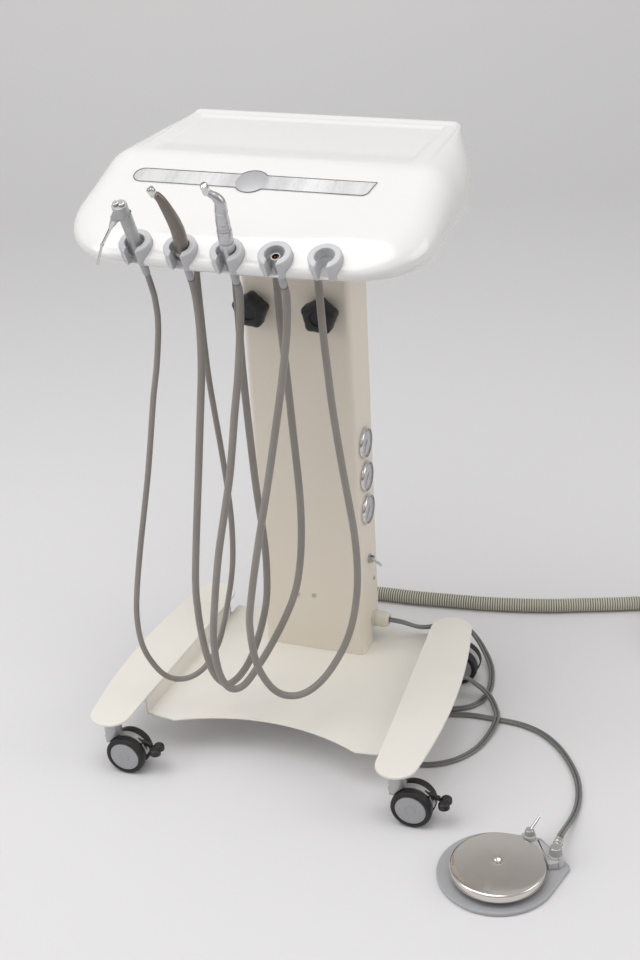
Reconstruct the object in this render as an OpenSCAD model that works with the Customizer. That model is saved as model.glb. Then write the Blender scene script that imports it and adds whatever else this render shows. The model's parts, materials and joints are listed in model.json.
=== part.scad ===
// Portable dental unit: wheeled base, column with three gauges, instrument head,
// four instruments in holders, disc foot control, and the supply hose on the floor.
// Millimetres, +Z up, the operator stands on the -Y side.

/* [Base] */
// Top of the leg panels above the floor
leg_top = 96; // [88:0.5:110]
// Thickness of the leg panels
leg_t = 4.5; // [3:0.5:6]
// Gap between the wheels' tops and the base plate
plate_gap = 1; // [0.8:0.1:2.5]
// Thickness of the base plate
plate_t = 3; // [2:0.5:4]
// Thickness of the upturned side walls
wall_t = 3; // [2:0.5:4]
// Sideways bulge of a leg panel's outer edge
leg_bulge = 16.6; // [8:0.2:22]

/* [Casters] */
// Wheel radius
wheel_r = 31; // [28:0.5:33]
// Width of one wheel of the pair
wheel_w = 15; // [11:0.5:17]
// Gap between the two wheels of a pair
wheel_gap = 11; // [9:0.5:13]
// How far the wheel trails the swivel axis
trail = 24; // [18:0.5:27]
// Swivel axis of the front casters from the centre plane
fc_x = 228; // [215:0.5:232]
// Swivel axis of the front casters, front to back
fc_y = -238; // [-243:0.5:-228]
// Swivel axis of the back casters from the centre plane
bc_x = 198; // [194:0.5:206]
// Swivel axis of the back casters, front to back
bc_y = 127; // [119:0.5:129]
// Radius of the housing's round stem
stem_r = 13.5; // [12:0.5:16]

/* [Column] */
// Left face of the column
col_x0 = -87.8; // [-100:0.2:-84]
// Right face of the column
col_x1 = 82.2; // [78:0.2:100]
// Front face of the column
col_y0 = 52.4; // [48:0.2:56]
// Back of the column shell
col_y1 = 129; // [125:0.5:135]
// Top of the column
col_top = 772; // [740:1:780]
// Sheet thickness of the column
col_t = 2; // [1.5:0.1:3]
// Height of the lowest gauge
gauge_z = 318; // [300:1:330]
// Distance between gauges
gauge_pitch = 58; // [56:0.5:64]
// Gauge bezel radius
bezel_r = 25; // [23:0.5:26.5]
// Height of the toggle switch
toggle_z = 226; // [218:1:250]
// Height of the hose gland
gland_z = 107.5; // [107:0.5:115]
// Height of the clamp knobs
knob_z = 662; // [655:1:690]
// Lobe circle radius of a clamp knob
knob_r = 20; // [17:0.5:22]

/* [Head] */
// Underside of the head
head_z0 = 798; // [796:0.5:804]
// Height of the tray surface
head_z1 = 905; // [898:0.5:915]
// Widest half width of the head
head_w = 261; // [252:0.5:268]
// Half width of the head at its back edge
head_wb = 211; // [200:0.5:218]
// Back edge of the head
head_yb = 218; // [208:0.5:226]
// Front tip of the head
head_yf = -196; // [-202:0.5:-190]
// Slope of the apron, drop for each millimetre forward
apron = 0.36; // [0.3:0.01:0.4]
// Radius of a holder's ring
ring_r = 22.7; // [21.5:0.1:24]
// Bore radius of a holder
bore_r = 13.5; // [12.5:0.1:14.5]
// Distance between holders
pitch = 66.7; // [64:0.1:69]
// How far the holders lean forward, degrees
lean = 25; // [22:0.5:28]

/* [Foot control] */
// Radius of the pressed disc
disc_r = 67; // [62:0.5:70]
// Height of the disc's rim top
disc_z = 28; // [26:0.5:30]
// Travel of the disc
disc_travel = 4; // [2:0.5:5]
// How far the foot control's base stands out round the disc
fbase_lip = 17; // [13:0.5:21]

/* [Hoses] */
// Diameter of the first instrument hose
hose1_d = 8.6; // [7:0.2:9.4]
// Diameter of the other instrument hoses
hose_d = 10.8; // [9:0.2:11.2]
// Diameter of one tube of the foot control hose
twin_d = 5; // [4:0.1:5.2]
// Outer diameter of the corrugated hose over its ribs
cond_d = 24; // [21:0.5:25]
// Distance between ribs
rib_pitch = 4.2; // [4:0.1:5]

/* [Display] */
// Which node to draw

/* [Hidden] */
$fn = 72;
e = 0.3;
leg_under = leg_top - leg_t;
plate_z0 = 2 * wheel_r + plate_gap;
plate_top = plate_z0 + plate_t;
// leg outline: end arcs and edges
la = [227.5, -239.5];
lar = 31.3;
lb = [207.5, 124];
lbr = 33.2;
p1 = la + lar * [cos(-7.5), sin(-7.5)];
p2 = lb + lbr * [cos(13), sin(13)];
leg_pts = concat(
  [for (i = [0:14]) la + lar * [cos(183.7 + i * 168.8 / 14), sin(183.7 + i * 168.8 / 14)]],
  [for (i = [1:23]) p1 + (p2 - p1) * i / 24 + [leg_bulge * 4 * (i / 24) * (1 - i / 24), 0]],
  [for (i = [0:14]) lb + lbr * [cos(13 + i * 170.7 / 14), sin(13 + i * 170.7 / 14)]]);
x_lo = -max([for (q = leg_pts) q[0]]);
// foot control places
fx = 399;
fy = -327;
fbx = 396;
fby = -320;
fbase_r = disc_r + fbase_lip;
// a place round the disc, at a distance from its rim
function round_disc(gap, a) = [fx, fy] + (disc_r + gap) * [cos(a), sin(a)];
f_corner = round_disc(26.477, 27.387);
f_back = round_disc(25.7, 66.5);
k1 = round_disc(11.6, 69.3);
k2 = round_disc(17.6, 32.94);
fcr = 9;
x_hi = f_corner[0] + fcr;
y_lo = fby - fbase_r;
y_hi = head_yb;
ox = -(x_lo + x_hi) / 2;
oy = -(y_lo + y_hi) / 2;
echo(ox = ox, oy = oy, x_lo = x_lo);
module at() { translate([ox, oy, 0]) children(); }
function xi(y) = 196 - 0.0641 * (y + 227.5);

// ---- sweep functions ----
function unit(v) = v / max(norm(v), 1e-9);
function cum(p, i = 0, s = 0) = i >= len(p) - 1 ? [s]
  : concat([s], cum(p, i + 1, s + norm(p[i + 1] - p[i])));
function crm(a, b, c, d, t) = 0.5 * ((2 * b) + (c - a) * t + (2 * a - 5 * b + 4 * c - d) * t * t
  + (3 * b - a - 3 * c + d) * t * t * t);
// smooth curve through the points, k steps a span
function curve(p, k) = let (n = len(p)) concat([for (i = [0:n - 2]) for (j = [0:k - 1])
  crm(p[max(i - 1, 0)], p[i], p[i + 1], p[min(i + 2, n - 1)], j / k)], [p[n - 1]]);
function tan3(p, i) = unit(p[min(i + 1, len(p) - 1)] - p[max(i - 1, 0)]);
// frames carried along the curve without twist
function frames(p, i = 0, u = undef) = i >= len(p) ? []
  : let (t = tan3(p, i), w = i == 0 ? (abs(t[2]) < 0.9 ? [0, 0, 1] : [1, 0, 0]) : u,
      v = unit(w - t * (w * t))) concat([[v, cross(t, v)]], frames(p, i + 1, v));
module sweep(p, r, n) {
  m = len(p);
  f = frames(p);
  pts = [for (i = [0:m - 1]) for (j = [0:n - 1])
    p[i] + (is_list(r) ? r[i] : r) * (f[i][0] * cos(j * 360 / n) + f[i][1] * sin(j * 360 / n))];
  side = [for (i = [0:m - 2]) for (j = [0:n - 1]) for (h = [0, 1]) let (k = (j + 1) % n,
      a = i * n + j, b = i * n + k, c = a + n, d = b + n) h == 0 ? [a, c, b] : [b, c, d]];
  polyhedron(concat(pts, [p[0], p[m - 1]]), concat(side,
    [for (j = [0:n - 1]) [m * n, j, (j + 1) % n]],
    [for (j = [0:n - 1]) [m * n + 1, (m - 1) * n + (j + 1) % n, (m - 1) * n + j]]));
}

// ---- base ----
module base_plate() color([0.86, 0.85, 0.8]) at() difference() {
  union() {
    translate([0, 0, plate_z0]) linear_extrude(plate_t) polygon(concat(
      [[-xi(142) - wall_t, 142], [-xi(-186) - wall_t, -186]],
      [for (i = [-8:8]) [147 * i / 8, -479.6 + sqrt(323 * 323 - pow(147 * i / 8, 2))]],
      [[xi(-186) + wall_t, -186], [xi(142) + wall_t, 142]]));
    for (s = [-1, 1]) translate([0, 0, plate_z0]) linear_extrude(leg_under - plate_z0)
      polygon([[s * xi(-186), -186], [s * (xi(-186) + wall_t), -186],
        [s * (xi(106) + wall_t), 106], [s * xi(106), 106]]);
  }
  foot_screw_places() cylinder(r = 2.2, h = 40, center = true);
}
module foot_screw_places() for (x = [-70, 62], y = [64, 86])
  translate([x, y, plate_z0]) children();
module leg_shape() difference() {
  translate([0, 0, leg_under]) linear_extrude(leg_t) polygon(leg_pts);
  translate([fc_x, fc_y, leg_under - 1]) cylinder(r = 4.05, h = 4);
  translate([bc_x, bc_y, leg_under - 1]) cylinder(r = 4.05, h = 4);
}
module leg_left() color([0.86, 0.85, 0.8]) at() mirror([1, 0, 0]) leg_shape();
module leg_right() color([0.86, 0.85, 0.8]) at() leg_shape();

// ---- casters ----
collar_t = 3.5;
stem_top = leg_under - collar_t - e;
stem_bot = wheel_r + 18;
pin_bot = wheel_r + 26;
module stem_pin() {
  translate([0, 0, leg_under - collar_t]) cylinder(r = 14, h = collar_t);
  translate([0, 0, leg_under - 0.1]) cylinder(r = 4, h = 2.9);
  translate([0, 0, pin_bot + 1]) cylinder(r = 5, h = leg_under - collar_t - pin_bot);
}
module caster_stems() color([0.6, 0.6, 0.6]) at() for (s = [-1, 1]) {
  translate([s * fc_x, fc_y, 0]) stem_pin();
  translate([s * bc_x, bc_y, 0]) stem_pin();
}
web_t = wheel_gap - 0.6;
pv = [trail + 23, wheel_r + 18];
module across(y0, h, r, x, z) translate([x, y0, z]) rotate([-90, 0, 0]) cylinder(r = r, h = h);
module housing(pedal) color([0.75, 0.75, 0.76]) difference() {
  union() {
    difference() {
      translate([0, 0, stem_bot]) cylinder(r = stem_r, h = stem_top - stem_bot);
      for (s = [-1, 1]) across(s > 0 ? web_t / 2 : -40 - web_t / 2, 40, wheel_r + 1, trail, wheel_r);
    }
    translate([0, web_t / 2, 0]) rotate([90, 0, 0]) linear_extrude(web_t) {
      intersection() {
        translate([trail, wheel_r]) circle(wheel_r);
        translate([trail - 40, wheel_r]) square([80, 40]);
      }
      translate([trail, wheel_r]) circle(9);
      translate([-stem_r + 1, wheel_r + 10]) square([2 * stem_r - 2, 14]);
    }
  }
  translate([0, 0, pin_bot]) cylinder(r = 5.06, h = 60);
  across(-20, 40, 3.06, trail, wheel_r);
  if (pedal) {
    translate([pv[0] - 6, -2.6, pv[1] - 10]) cube([40, 5.2, 40]);
    across(-20, 40, 2.05, pv[0], pv[1]);
  }
}
module wheels() color([0.2, 0.2, 0.2]) translate([trail, 0, wheel_r]) rotate([90, 0, 0]) {
  for (s = [0, 1]) mirror([0, 0, s]) rotate_extrude() polygon([[0, wheel_gap / 2],
    [wheel_r - 3, wheel_gap / 2], [wheel_r - 0.9, wheel_gap / 2 + 0.9],
    [wheel_r, wheel_gap / 2 + 3], [wheel_r, wheel_gap / 2 + wheel_w - 4],
    [wheel_r - 1.2, wheel_gap / 2 + wheel_w - 1.2], [wheel_r - 4, wheel_gap / 2 + wheel_w],
    [wheel_r - 8, wheel_gap / 2 + wheel_w], [wheel_r - 8.6, wheel_gap / 2 + wheel_w - 1.5],
    [6, wheel_gap / 2 + wheel_w - 1.5], [6, wheel_gap / 2 + wheel_w - 0.6],
    [0, wheel_gap / 2 + wheel_w - 0.6]]);
  cylinder(r = 3, h = wheel_gap + 2, center = true);
}
module pedal() color([0.1, 0.1, 0.1]) {
  translate([0, 2.4, 0]) rotate([90, 0, 0]) linear_extrude(4.8) {
    translate(pv) circle(4.5);
    polygon([pv + [0, 4.4], pv + [17, 1], pv + [17, -6], pv + [1, -4.4]]);
  }
  across(-web_t / 2, web_t, 2, pv[0], pv[1]);
  for (s = [-1, 1]) translate([pv[0] + 24, s * 6.5, pv[1] - 13]) {
    cylinder(r = 8.5, h = 7);
    translate([0, 0, 7]) cylinder(r1 = 8.5, r2 = 5.5, h = 3);
  }
}
module fl() at() translate([-fc_x, fc_y, 0]) children();
module fr() at() translate([fc_x, fc_y, 0]) children();
// this one has swivelled half a turn
module bl() at() translate([-bc_x, bc_y, 0]) rotate([0, 0, 180]) children();
module br() at() translate([bc_x, bc_y, 0]) children();
module caster_housing_fl() fl() housing(true);
module caster_housing_fr() fr() housing(true);
module caster_housing_bl() bl() housing(false);
module caster_housing_br() br() housing(false);
module caster_wheels_fl() fl() wheels();
module caster_wheels_fr() fr() wheels();
module caster_wheels_bl() bl() wheels();
module caster_wheels_br() br() wheels();
module caster_pedal_fl() fl() pedal();
module caster_pedal_fr() fr() pedal();

// ---- column ----
col_w = col_x1 - col_x0;
col_c = (col_x0 + col_x1) / 2;
gy = 90.7;
gauge_zs = [gauge_z + 2 * gauge_pitch, gauge_z + gauge_pitch, gauge_z];
ty = 93;
gly = 105;
knob_xs = [-66.5, 41.5];
mast_x0 = col_x0 + 12;
mast_x1 = col_x1 - 12;
mast_y0 = 74;
mast_y1 = 110;
mast_t = 2.5;
mast_z0 = col_top - 272;
module col_2d(d) hull() {
  for (x = [col_x0 + 9, col_x1 - 9]) translate([x, col_y0 + 9]) circle(r = 9 - d);
  translate([col_x0 + d, col_y1 - 1 - d]) square([col_w - 2 * d, 1]);
}
module toward_x(x, y, z) translate([x, y, z]) rotate([0, 90, 0]) children();
module column_shell() color([0.88, 0.87, 0.82]) at() difference() {
  union() {
    difference() {
      translate([0, 0, plate_top]) linear_extrude(col_top - plate_top) col_2d(0);
      translate([0, 0, plate_top + 3]) linear_extrude(col_top - plate_top - 3 - col_t) col_2d(col_t);
      translate([col_x0 + 14, col_y1 - 6, plate_top - 1])
        cube([col_w - 28, 20, col_top - plate_top - 30]);
      translate([col_x0 - 5, 95, plate_top - 1]) cube([col_w + 10, 60, 92 - plate_top]);
    }
    for (z = [knob_z - 22, knob_z + 38]) translate([0, 0, z]) linear_extrude(4) intersection() {
      col_2d(col_t - 0.5);
      translate([col_x0, col_y0]) square([col_w, mast_y1 + 8 - col_y0]);
    }
    for (x = knob_xs) translate([x, col_y0 + col_t - 0.5, knob_z]) rotate([-90, 0, 0])
      cylinder(r = 9, h = 8);
  }
  translate([mast_x0 - e, mast_y0 - e, knob_z - 62])
    cube([mast_x1 - mast_x0 + 2 * e, mast_y1 - mast_y0 + 2 * e, 300]);
  for (x = knob_xs) translate([x, col_y0 - 5, knob_z]) rotate([-90, 0, 0])
    cylinder(r = 4.05, h = 30);
  for (z = gauge_zs) toward_x(col_x1 - 10, gy, z) cylinder(r = 20.3, h = 20);
  toward_x(col_x1 - 10, ty, toggle_z) cylinder(r = 6.1, h = 20);
  toward_x(col_x1 - 10, gly, gland_z) cylinder(r = 10.05, h = 20);
  screw_places() cylinder(r = 2.05, h = 30, center = true);
  foot_screw_places() cylinder(r = 2.05, h = 40, center = true);
}
module column_back_cover() color([0.88, 0.87, 0.82]) at() difference() {
  union() {
    translate([col_x0 + 8, col_y1, 93]) cube([col_w - 16, 2, col_top - 133]);
    translate([-72, col_y1 + 2, 130]) rotate([-90, 0, 0]) cylinder(r = 17, h = 12);
  }
  translate([-72, col_y1 - 1, 130]) rotate([-90, 0, 0]) cylinder(r = cond_d / 2 + 0.4, h = 40);
}
module valve_block() color([0.55, 0.57, 0.6]) at() difference() {
  translate([col_x1 - col_t - 36, 72, 130]) cube([36, 24, 66]);
  for (z = [145, 163, 181]) translate([col_x1 - col_t - 18, 60, z]) rotate([-90, 0, 0])
    cylinder(r = 4.2, h = 22);
}
module gauge_cases() color([0.82, 0.82, 0.84]) at() for (z = gauge_zs)
  toward_x(col_x1, gy, z) difference() {
    union() {
      rotate_extrude() polygon([[0, 0], [bezel_r, 0], [bezel_r, 4], [bezel_r - 1.2, 5.6],
        [bezel_r - 2, 6], [0, 6]]);
      translate([0, 0, -22]) cylinder(r = 20, h = 22.1);
    }
    translate([0, 0, 2]) cylinder(r = bezel_r - 3, h = 10);
    translate([0, 0, 0.5]) cylinder(r = 0.84, h = 10);
  }
module gauge_dials() color([0.95, 0.95, 0.93]) at() for (z = gauge_zs)
  toward_x(col_x1 + 2, gy, z) difference() {
    cylinder(r = bezel_r - 3.3, h = 0.6);
    cylinder(r = 1.2, h = 4, center = true);
  }
module gauge_glasses() color([0.9, 0.95, 1, 0.3]) at() for (z = gauge_zs)
  toward_x(col_x1 + 4.4, gy, z) cylinder(r = bezel_r - 3.3, h = 1.2);
module needle(i, a) color([0.1, 0.1, 0.1]) at() toward_x(col_x1, gy, gauge_zs[i])
  rotate([0, 0, a]) {
    translate([0, 0, 0.9]) cylinder(r = 0.8, h = 2.5);
    translate([0, 0, 3]) cylinder(r = 2.4, h = 0.9);
    translate([0, 0, 3.1]) linear_extrude(0.6) polygon([[-6, -1.4], [17, -0.5], [17, 0.5], [-6, 1.4]]);
  }
module gauge_needle_1() needle(0, -45);
module gauge_needle_2() needle(1, -45);
module gauge_needle_3() needle(2, -45);
tgx = col_x1 + 5;
module toggle_body() color([0.7, 0.7, 0.72]) at() difference() {
  union() {
    toward_x(col_x1, ty, toggle_z) cylinder(r = 8.5, h = 2.4, $fn = 6);
    toward_x(col_x1 - col_t, ty, toggle_z) cylinder(r = 5.9, h = col_t + 8);
    translate([col_x1 - col_t - 18, ty - 9, toggle_z - 12]) cube([18, 18, 24]);
  }
  translate([tgx - 2.9, ty - 2.9, toggle_z - 7]) cube([10, 5.8, 14]);
  across(ty - 5, 10, lever_pin_r + 0.06, tgx, toggle_z);
}
lever_rest = 31;
lever_pin_r = 1.6;
// a hub on its cross pin, and a taper with a round tip
module toggle_lever() color([0.85, 0.85, 0.87]) at() {
  across(ty - 2.7, 5.4, 2.7, tgx, toggle_z);
  across(ty - 4.9, 9.8, lever_pin_r, tgx, toggle_z);
  translate([tgx, ty, toggle_z]) rotate([0, 90 + lever_rest, 0]) rotate_extrude()
    polygon(concat([[0, 0], [1.8, 0]],
      [for (a = [0:10:90]) [0, 17] + 2.6 * [max(0, cos(a)), sin(a)]]));
}
module hose_gland() color([0.82, 0.8, 0.72]) at() toward_x(col_x1, gly, gland_z) difference() {
  union() {
    cylinder(r = 15, h = 5.5, $fn = 6);
    rotate_extrude() polygon([[0, 5.5], [13.2, 5.5], [13.2, 20], [11.5, 24.5], [8.5, 27], [0, 27]]);
    translate([0, 0, -col_t - 6]) cylinder(r = 10, h = col_t + 6.1);
    translate([0, 0, -col_t - 4]) cylinder(r = 12.5, h = 4);
  }
  translate([0, 0, -40]) cylinder(r = 5.5, h = 90);
}
module screw_places() {
  for (q = [[-28, 166], [0, 167.5]]) translate([q[0], col_y0, q[1]]) rotate([90, 0, 0]) children();
  toward_x(col_x1, 112, 179) children();
}
module screw() {
  cylinder(r = 3.5, h = 1.8);
  translate([0, 0, -7]) cylinder(r = 2, h = 7.1);
}
module screws() color([0.6, 0.6, 0.6]) at() {
  screw_places() screw();
  foot_screw_places() mirror([0, 0, 1]) screw();
}
module mast() color([0.8, 0.8, 0.8]) at() difference() {
  translate([mast_x0, mast_y0, mast_z0])
    cube([mast_x1 - mast_x0, mast_y1 - mast_y0, head_z0 - 4 - mast_z0]);
  translate([mast_x0 + mast_t, mast_y0 + mast_t, mast_z0 - 1])
    cube([mast_x1 - mast_x0 - 2 * mast_t, mast_y1 - mast_y0 - 2 * mast_t, head_z0 - 6 - mast_z0]);
}
module knob(x) color([0.08, 0.08, 0.08]) at() translate([x, col_y0 - e, knob_z])
  rotate([90, 0, 0]) difference() {
    union() {
      cylinder(r = 12, h = 12);
      translate([0, 0, 8]) linear_extrude(18) union() {
        circle(r = knob_r + 3.5);
        for (a = [0:4]) rotate(a * 72 + 85) translate([knob_r, 0]) circle(r = 8, $fn = 32);
      }
      translate([0, 0, 26]) cylinder(r1 = knob_r, r2 = knob_r - 3, h = 3);
      translate([0, 0, -(mast_y0 - col_y0 - 2 * e)]) cylinder(r = 4, h = mast_y0 - col_y0);
    }
    translate([0, 0, 27]) cylinder(r = 12, h = 5);
  }
module clamp_knob_left() knob(knob_xs[0]);
module clamp_knob_right() knob(knob_xs[1]);

// ---- head ----
head_ym = 33.5;
head_rc = 101.5;
head_bow = 8;
rim_a = 48;
back_r = 12;
// the rim's inset at the back, as a share of that at the front
back_k = 0.06;
lip_h = 3;
function side_x(y, w0, w1, y0) = w0 + (w1 - w0) * (1 - pow(max(0, 1 - (y0 - y) / (y0 - head_ym)), 1.8));
wall_h = 4;
// right half of the outline, inset by the rim's d and by a wall w
function half(d, w) = let (yb = head_yb - w - back_k * d, wb = head_wb - w - back_k * d,
    wf = head_w - w - d,
    ys = yb - back_r, yc = head_yf + head_bow + head_rc, xc = head_w - head_rc, r = head_rc - d - w)
  concat([[0, yb], [(wb - back_r) / 2, yb]],
    [for (i = [0:4]) [wb - back_r + back_r * sin(i * 22.5), ys + back_r * cos(i * 22.5)]],
    [for (i = [1:6]) let (y = ys + (head_ym - ys) * i / 6) [side_x(y, wb, wf, ys), y]],
    [[wf, 0], [wf, (yc) / 2]],
    [for (i = [0:9]) [xc + r * cos(i * 10), yc - r * sin(i * 10)]],
    [for (i = [1:6]) let (x = xc * (1 - i / 6)) [x, head_yf + d + w + head_bow * pow(x / xc, 2)]]);
function outline(d, w = 0) = let (h = half(d, w), n = len(h))
  concat(h, [for (i = [n - 2:-1:1]) [-h[i][0], h[i][1]]]);
function top_z(y, dz) = head_z1 - dz + (y < 0 ? apron * y : 0);
function ring(w, a, dz, dzb, ph) = let (o = outline(a * (1 - cos(ph)), w))
  [for (q = o) let (t = top_z(q[1], dz), b = head_z0 + dzb)
    [q[0], q[1], (t + b) / 2 + (t - b) / 2 * sin(ph)]];
phs = [-90, -72, -54, -36, -18, 0, 18, 36, 54, 72, 90];
module loft(w, a, dz, dzb) {
  rs = [for (ph = phs) ring(w, a, dz, dzb, ph)];
  n = len(rs[0]);
  m = len(rs);
  top = (m - 1) * n;
  fr_i = [for (j = [0:n - 1]) if (rs[m - 1][j][1] <= 0.001) top + j];
  bk_i = concat([for (j = [0:n - 1]) if (rs[m - 1][j][1] >= -0.001 && j < n / 2) top + j],
    [for (j = [0:n - 1]) if (rs[m - 1][j][1] >= -0.001 && j >= n / 2) top + j]);
  // each cap is a fan about a point of its own
  caps = [[0, 60, head_z0 + dzb], [0, -70, top_z(-70, dz)], [0, 100, head_z1 - dz]];
  fan = [[for (j = [n - 1:-1:0]) j], fr_i, bk_i];
  polyhedron(concat([for (r = rs) for (q = r) q], caps), concat(
    [for (i = [0:m - 2]) for (j = [0:n - 1]) for (h = [0, 1]) let (k = (j + 1) % n,
      a = i * n + j, b = i * n + k, c = a + n, d = b + n) h == 0 ? [a, b, c] : [b, d, c]],
    [for (f = [0:2]) for (j = [0:len(fan[f]) - 1])
      [m * n + f, fan[f][j], fan[f][(j + 1) % len(fan[f])]]]));
}
holder_x = [for (i = [-2:2]) 1.5 + pitch * i];
function holder_y(x) = head_yf + 8 + head_bow * pow(x / 159, 2);
holder_z = 839;
module in_holder(i) translate([holder_x[i], holder_y(holder_x[i]), holder_z])
  rotate([lean, 0, 0]) children();
function out_of(i, q) = [holder_x[i] + q[0],
  holder_y(holder_x[i]) + q[1] * cos(lean) - q[2] * sin(lean),
  holder_z + q[1] * sin(lean) + q[2] * cos(lean)];
module tray_2d() hull() for (q = [[-183, 12], [183, 12], [181, 180], [-181, 180]])
  translate(q) circle(r = 12, $fn = 32);
module head_shell() color([0.96, 0.96, 0.97]) at() difference() {
  union() {
    loft(0, rim_a, 0, 0);
    translate([0, 0, head_z1 - 2]) linear_extrude(2 + lip_h) hull()
      for (s = [-1, 1]) translate([s * (head_wb - 9.5), head_yb - 9.5]) circle(r = 5, $fn = 24);
  }
  loft(wall_h, rim_a - 2, wall_h + 3, wall_h);
  translate([0, 0, head_z0 - 1]) linear_extrude(8) polygon(outline(60, wall_h));
  translate([0, 0, head_z1 - 3]) linear_extrude(3.6) tray_2d();
  for (i = [0:4]) in_holder(i) {
    translate([0, 0, -ring_h - 0.2]) cylinder(r = ring_r + 0.2, h = 54);
    translate([0, 0, -60]) cylinder(r = 13.2, h = 60);
  }
}
module head_pan() color([0.9, 0.9, 0.91]) at() difference() {
  union() {
    translate([0, 0, head_z0]) linear_extrude(3) polygon(outline(60, wall_h + 0.3));
    // flange that sits on the mast
    translate([mast_x0 - 10, mast_y0 - 14, head_z0 - 4])
      cube([mast_x1 - mast_x0 + 20, mast_y1 - mast_y0 + 28, 4.1]);
  }
  for (x = outlet_x) translate([x, outlet_y, head_z0 - 1]) cylinder(r = 8.1, h = 8);
}
module label_plate() color([0.78, 0.78, 0.8]) at() translate([0, -51, top_z(-51, 0)])
  rotate([atan(apron), 0, 0]) linear_extrude(1) {
    translate([-175, 0]) circle(r = 15);
    translate([-175, -15]) square([322, 30]);
    translate([-14.3, 0]) circle(r = 24);
    // square above and rounded below at the right end
    hull() {
      translate([140, -15]) square([1, 30]);
      translate([160, 14]) square([1, 1]);
      translate([145, -4]) circle(r = 11);
    }
  }
low_r = 8.5;
ring_h = 24;
module holders() color([0.75, 0.76, 0.78]) at() for (i = [0:4]) in_holder(i)
  difference() {
    union() {
      translate([0, 0, -ring_h]) cylinder(r = ring_r, h = ring_h + 1.5);
      translate([0, 0, 1.5]) cylinder(r1 = ring_r, r2 = ring_r - 1.5, h = 1.5);
    }
    translate([0, 0, -10]) cylinder(r = bore_r, h = 30);
    translate([0, 0, -20]) cylinder(r1 = low_r, r2 = bore_r, h = 10.01);
    translate([0, 0, -80]) cylinder(r = low_r, h = 90);
    translate([-7.5, -40, -80]) cube([15, 40, 120]);
  }
outlet_x = [-79, -22, 38, 98];
outlet_y = -112;
module hose_outlets() color([0.5, 0.5, 0.5]) at() for (x = outlet_x) translate([x, outlet_y, 0]) {
  translate([0, 0, head_z0 - 12]) cylinder(r = 8, h = 19);
  translate([0, 0, head_z0 - 3]) cylinder(r = 12, h = 3);
}

// ---- instrument hoses, from the instrument's tail to the outlet ----
tail = -60;
function h_end(i) = [out_of(i, [0, 0, tail]), out_of(i, [0, 0, tail - 12])];
function h_top(i) = [[outlet_x[i], outlet_y, head_z0 - 30], [outlet_x[i], outlet_y, head_z0 - 12]];
h1 = [[-130, -147, 752], [-128, -146, 722], [-128.5, -150, 690], [-132, -158, 645], [-138, -166, 600],
  [-152, -178, 490], [-168, -192, 384],
  [-179, -202, 302], [-183, -205, 250], [-180, -203, 204], [-170, -195, 168], [-154, -184, 140],
  [-132, -167, 129], [-108, -148, 141], [-87, -131, 182], [-72, -120, 249], [-62, -112, 317],
  [-60, -109, 400], [-66, -110, 503], [-75, -112, 616], [-78, -112, 708]];
h2 = [[-65, -151, 752], [-64.3, -149.5, 722], [-63.5, -152, 690], [-64, -157, 648], [-67, -163, 600],
  [-77, -172, 485], [-90, -182, 341],
  [-92, -184, 279], [-89, -182, 215], [-80, -176, 156], [-63, -163, 129], [-42, -147, 148],
  [-26, -135, 185], [-12, -125, 238], [-6, -120, 283], [-5, -118, 345], [-8, -118, 397],
  [-13, -116, 450], [-18, -114, 540], [-22, -112, 638], [-22, -112, 710]];
h3 = [[-0.3, -152.5, 752], [-3, -151, 722], [-5.3, -154, 690], [-8, -162, 645], [-13.5, -171, 592],
  [-24, -182, 498], [-43, -196, 387],
  [-54, -204, 299], [-59, -208, 238], [-56, -206, 181], [-45, -198, 149], [-28, -186, 148],
  [-10, -172, 173], [13, -156, 215], [35, -140, 265], [48, -130, 311], [55, -124, 375],
  [56, -121, 450], [50, -117, 548], [44, -113, 640], [39, -112, 720]];
h4 = [[66.3, -151, 752], [63.6, -149.5, 722], [60.6, -153, 690], [56.5, -163, 645], [50.5, -174, 595],
  [39, -190, 511], [21, -206, 403],
  [9, -217, 319], [6, -220, 274], [11, -216, 213], [27, -203, 165], [46, -186, 144],
  [67, -167, 142], [89, -148, 160], [111, -129, 198], [126, -118, 245], [134, -111, 310],
  [132, -109, 389], [121, -111, 482], [109, -112, 590], [101, -112, 700]];
function hose_pts(i, h) = concat(h_end(i), curve(h, 2), h_top(i));
module hose(i, h, d) color([0.5, 0.48, 0.45]) at() sweep(hose_pts(i, h), d / 2, 10);
module hose_1() hose(0, h1, hose1_d);
module hose_2() hose(1, h2, hose_d);
module hose_3() hose(2, h3, hose_d);
module hose_4() hose(3, h4, hose_d);

// ---- instruments, each in its holder's own frame, Z up the bore ----
// shared stem profile that sits on the holder's cone
module stem_rev(extra) rotate_extrude() polygon(concat([[0, tail], [4.6, tail], [5.2, tail + 4],
  [5.4, -26], [6.6, -20.8], [9.2, -16.6]], extra));
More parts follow.
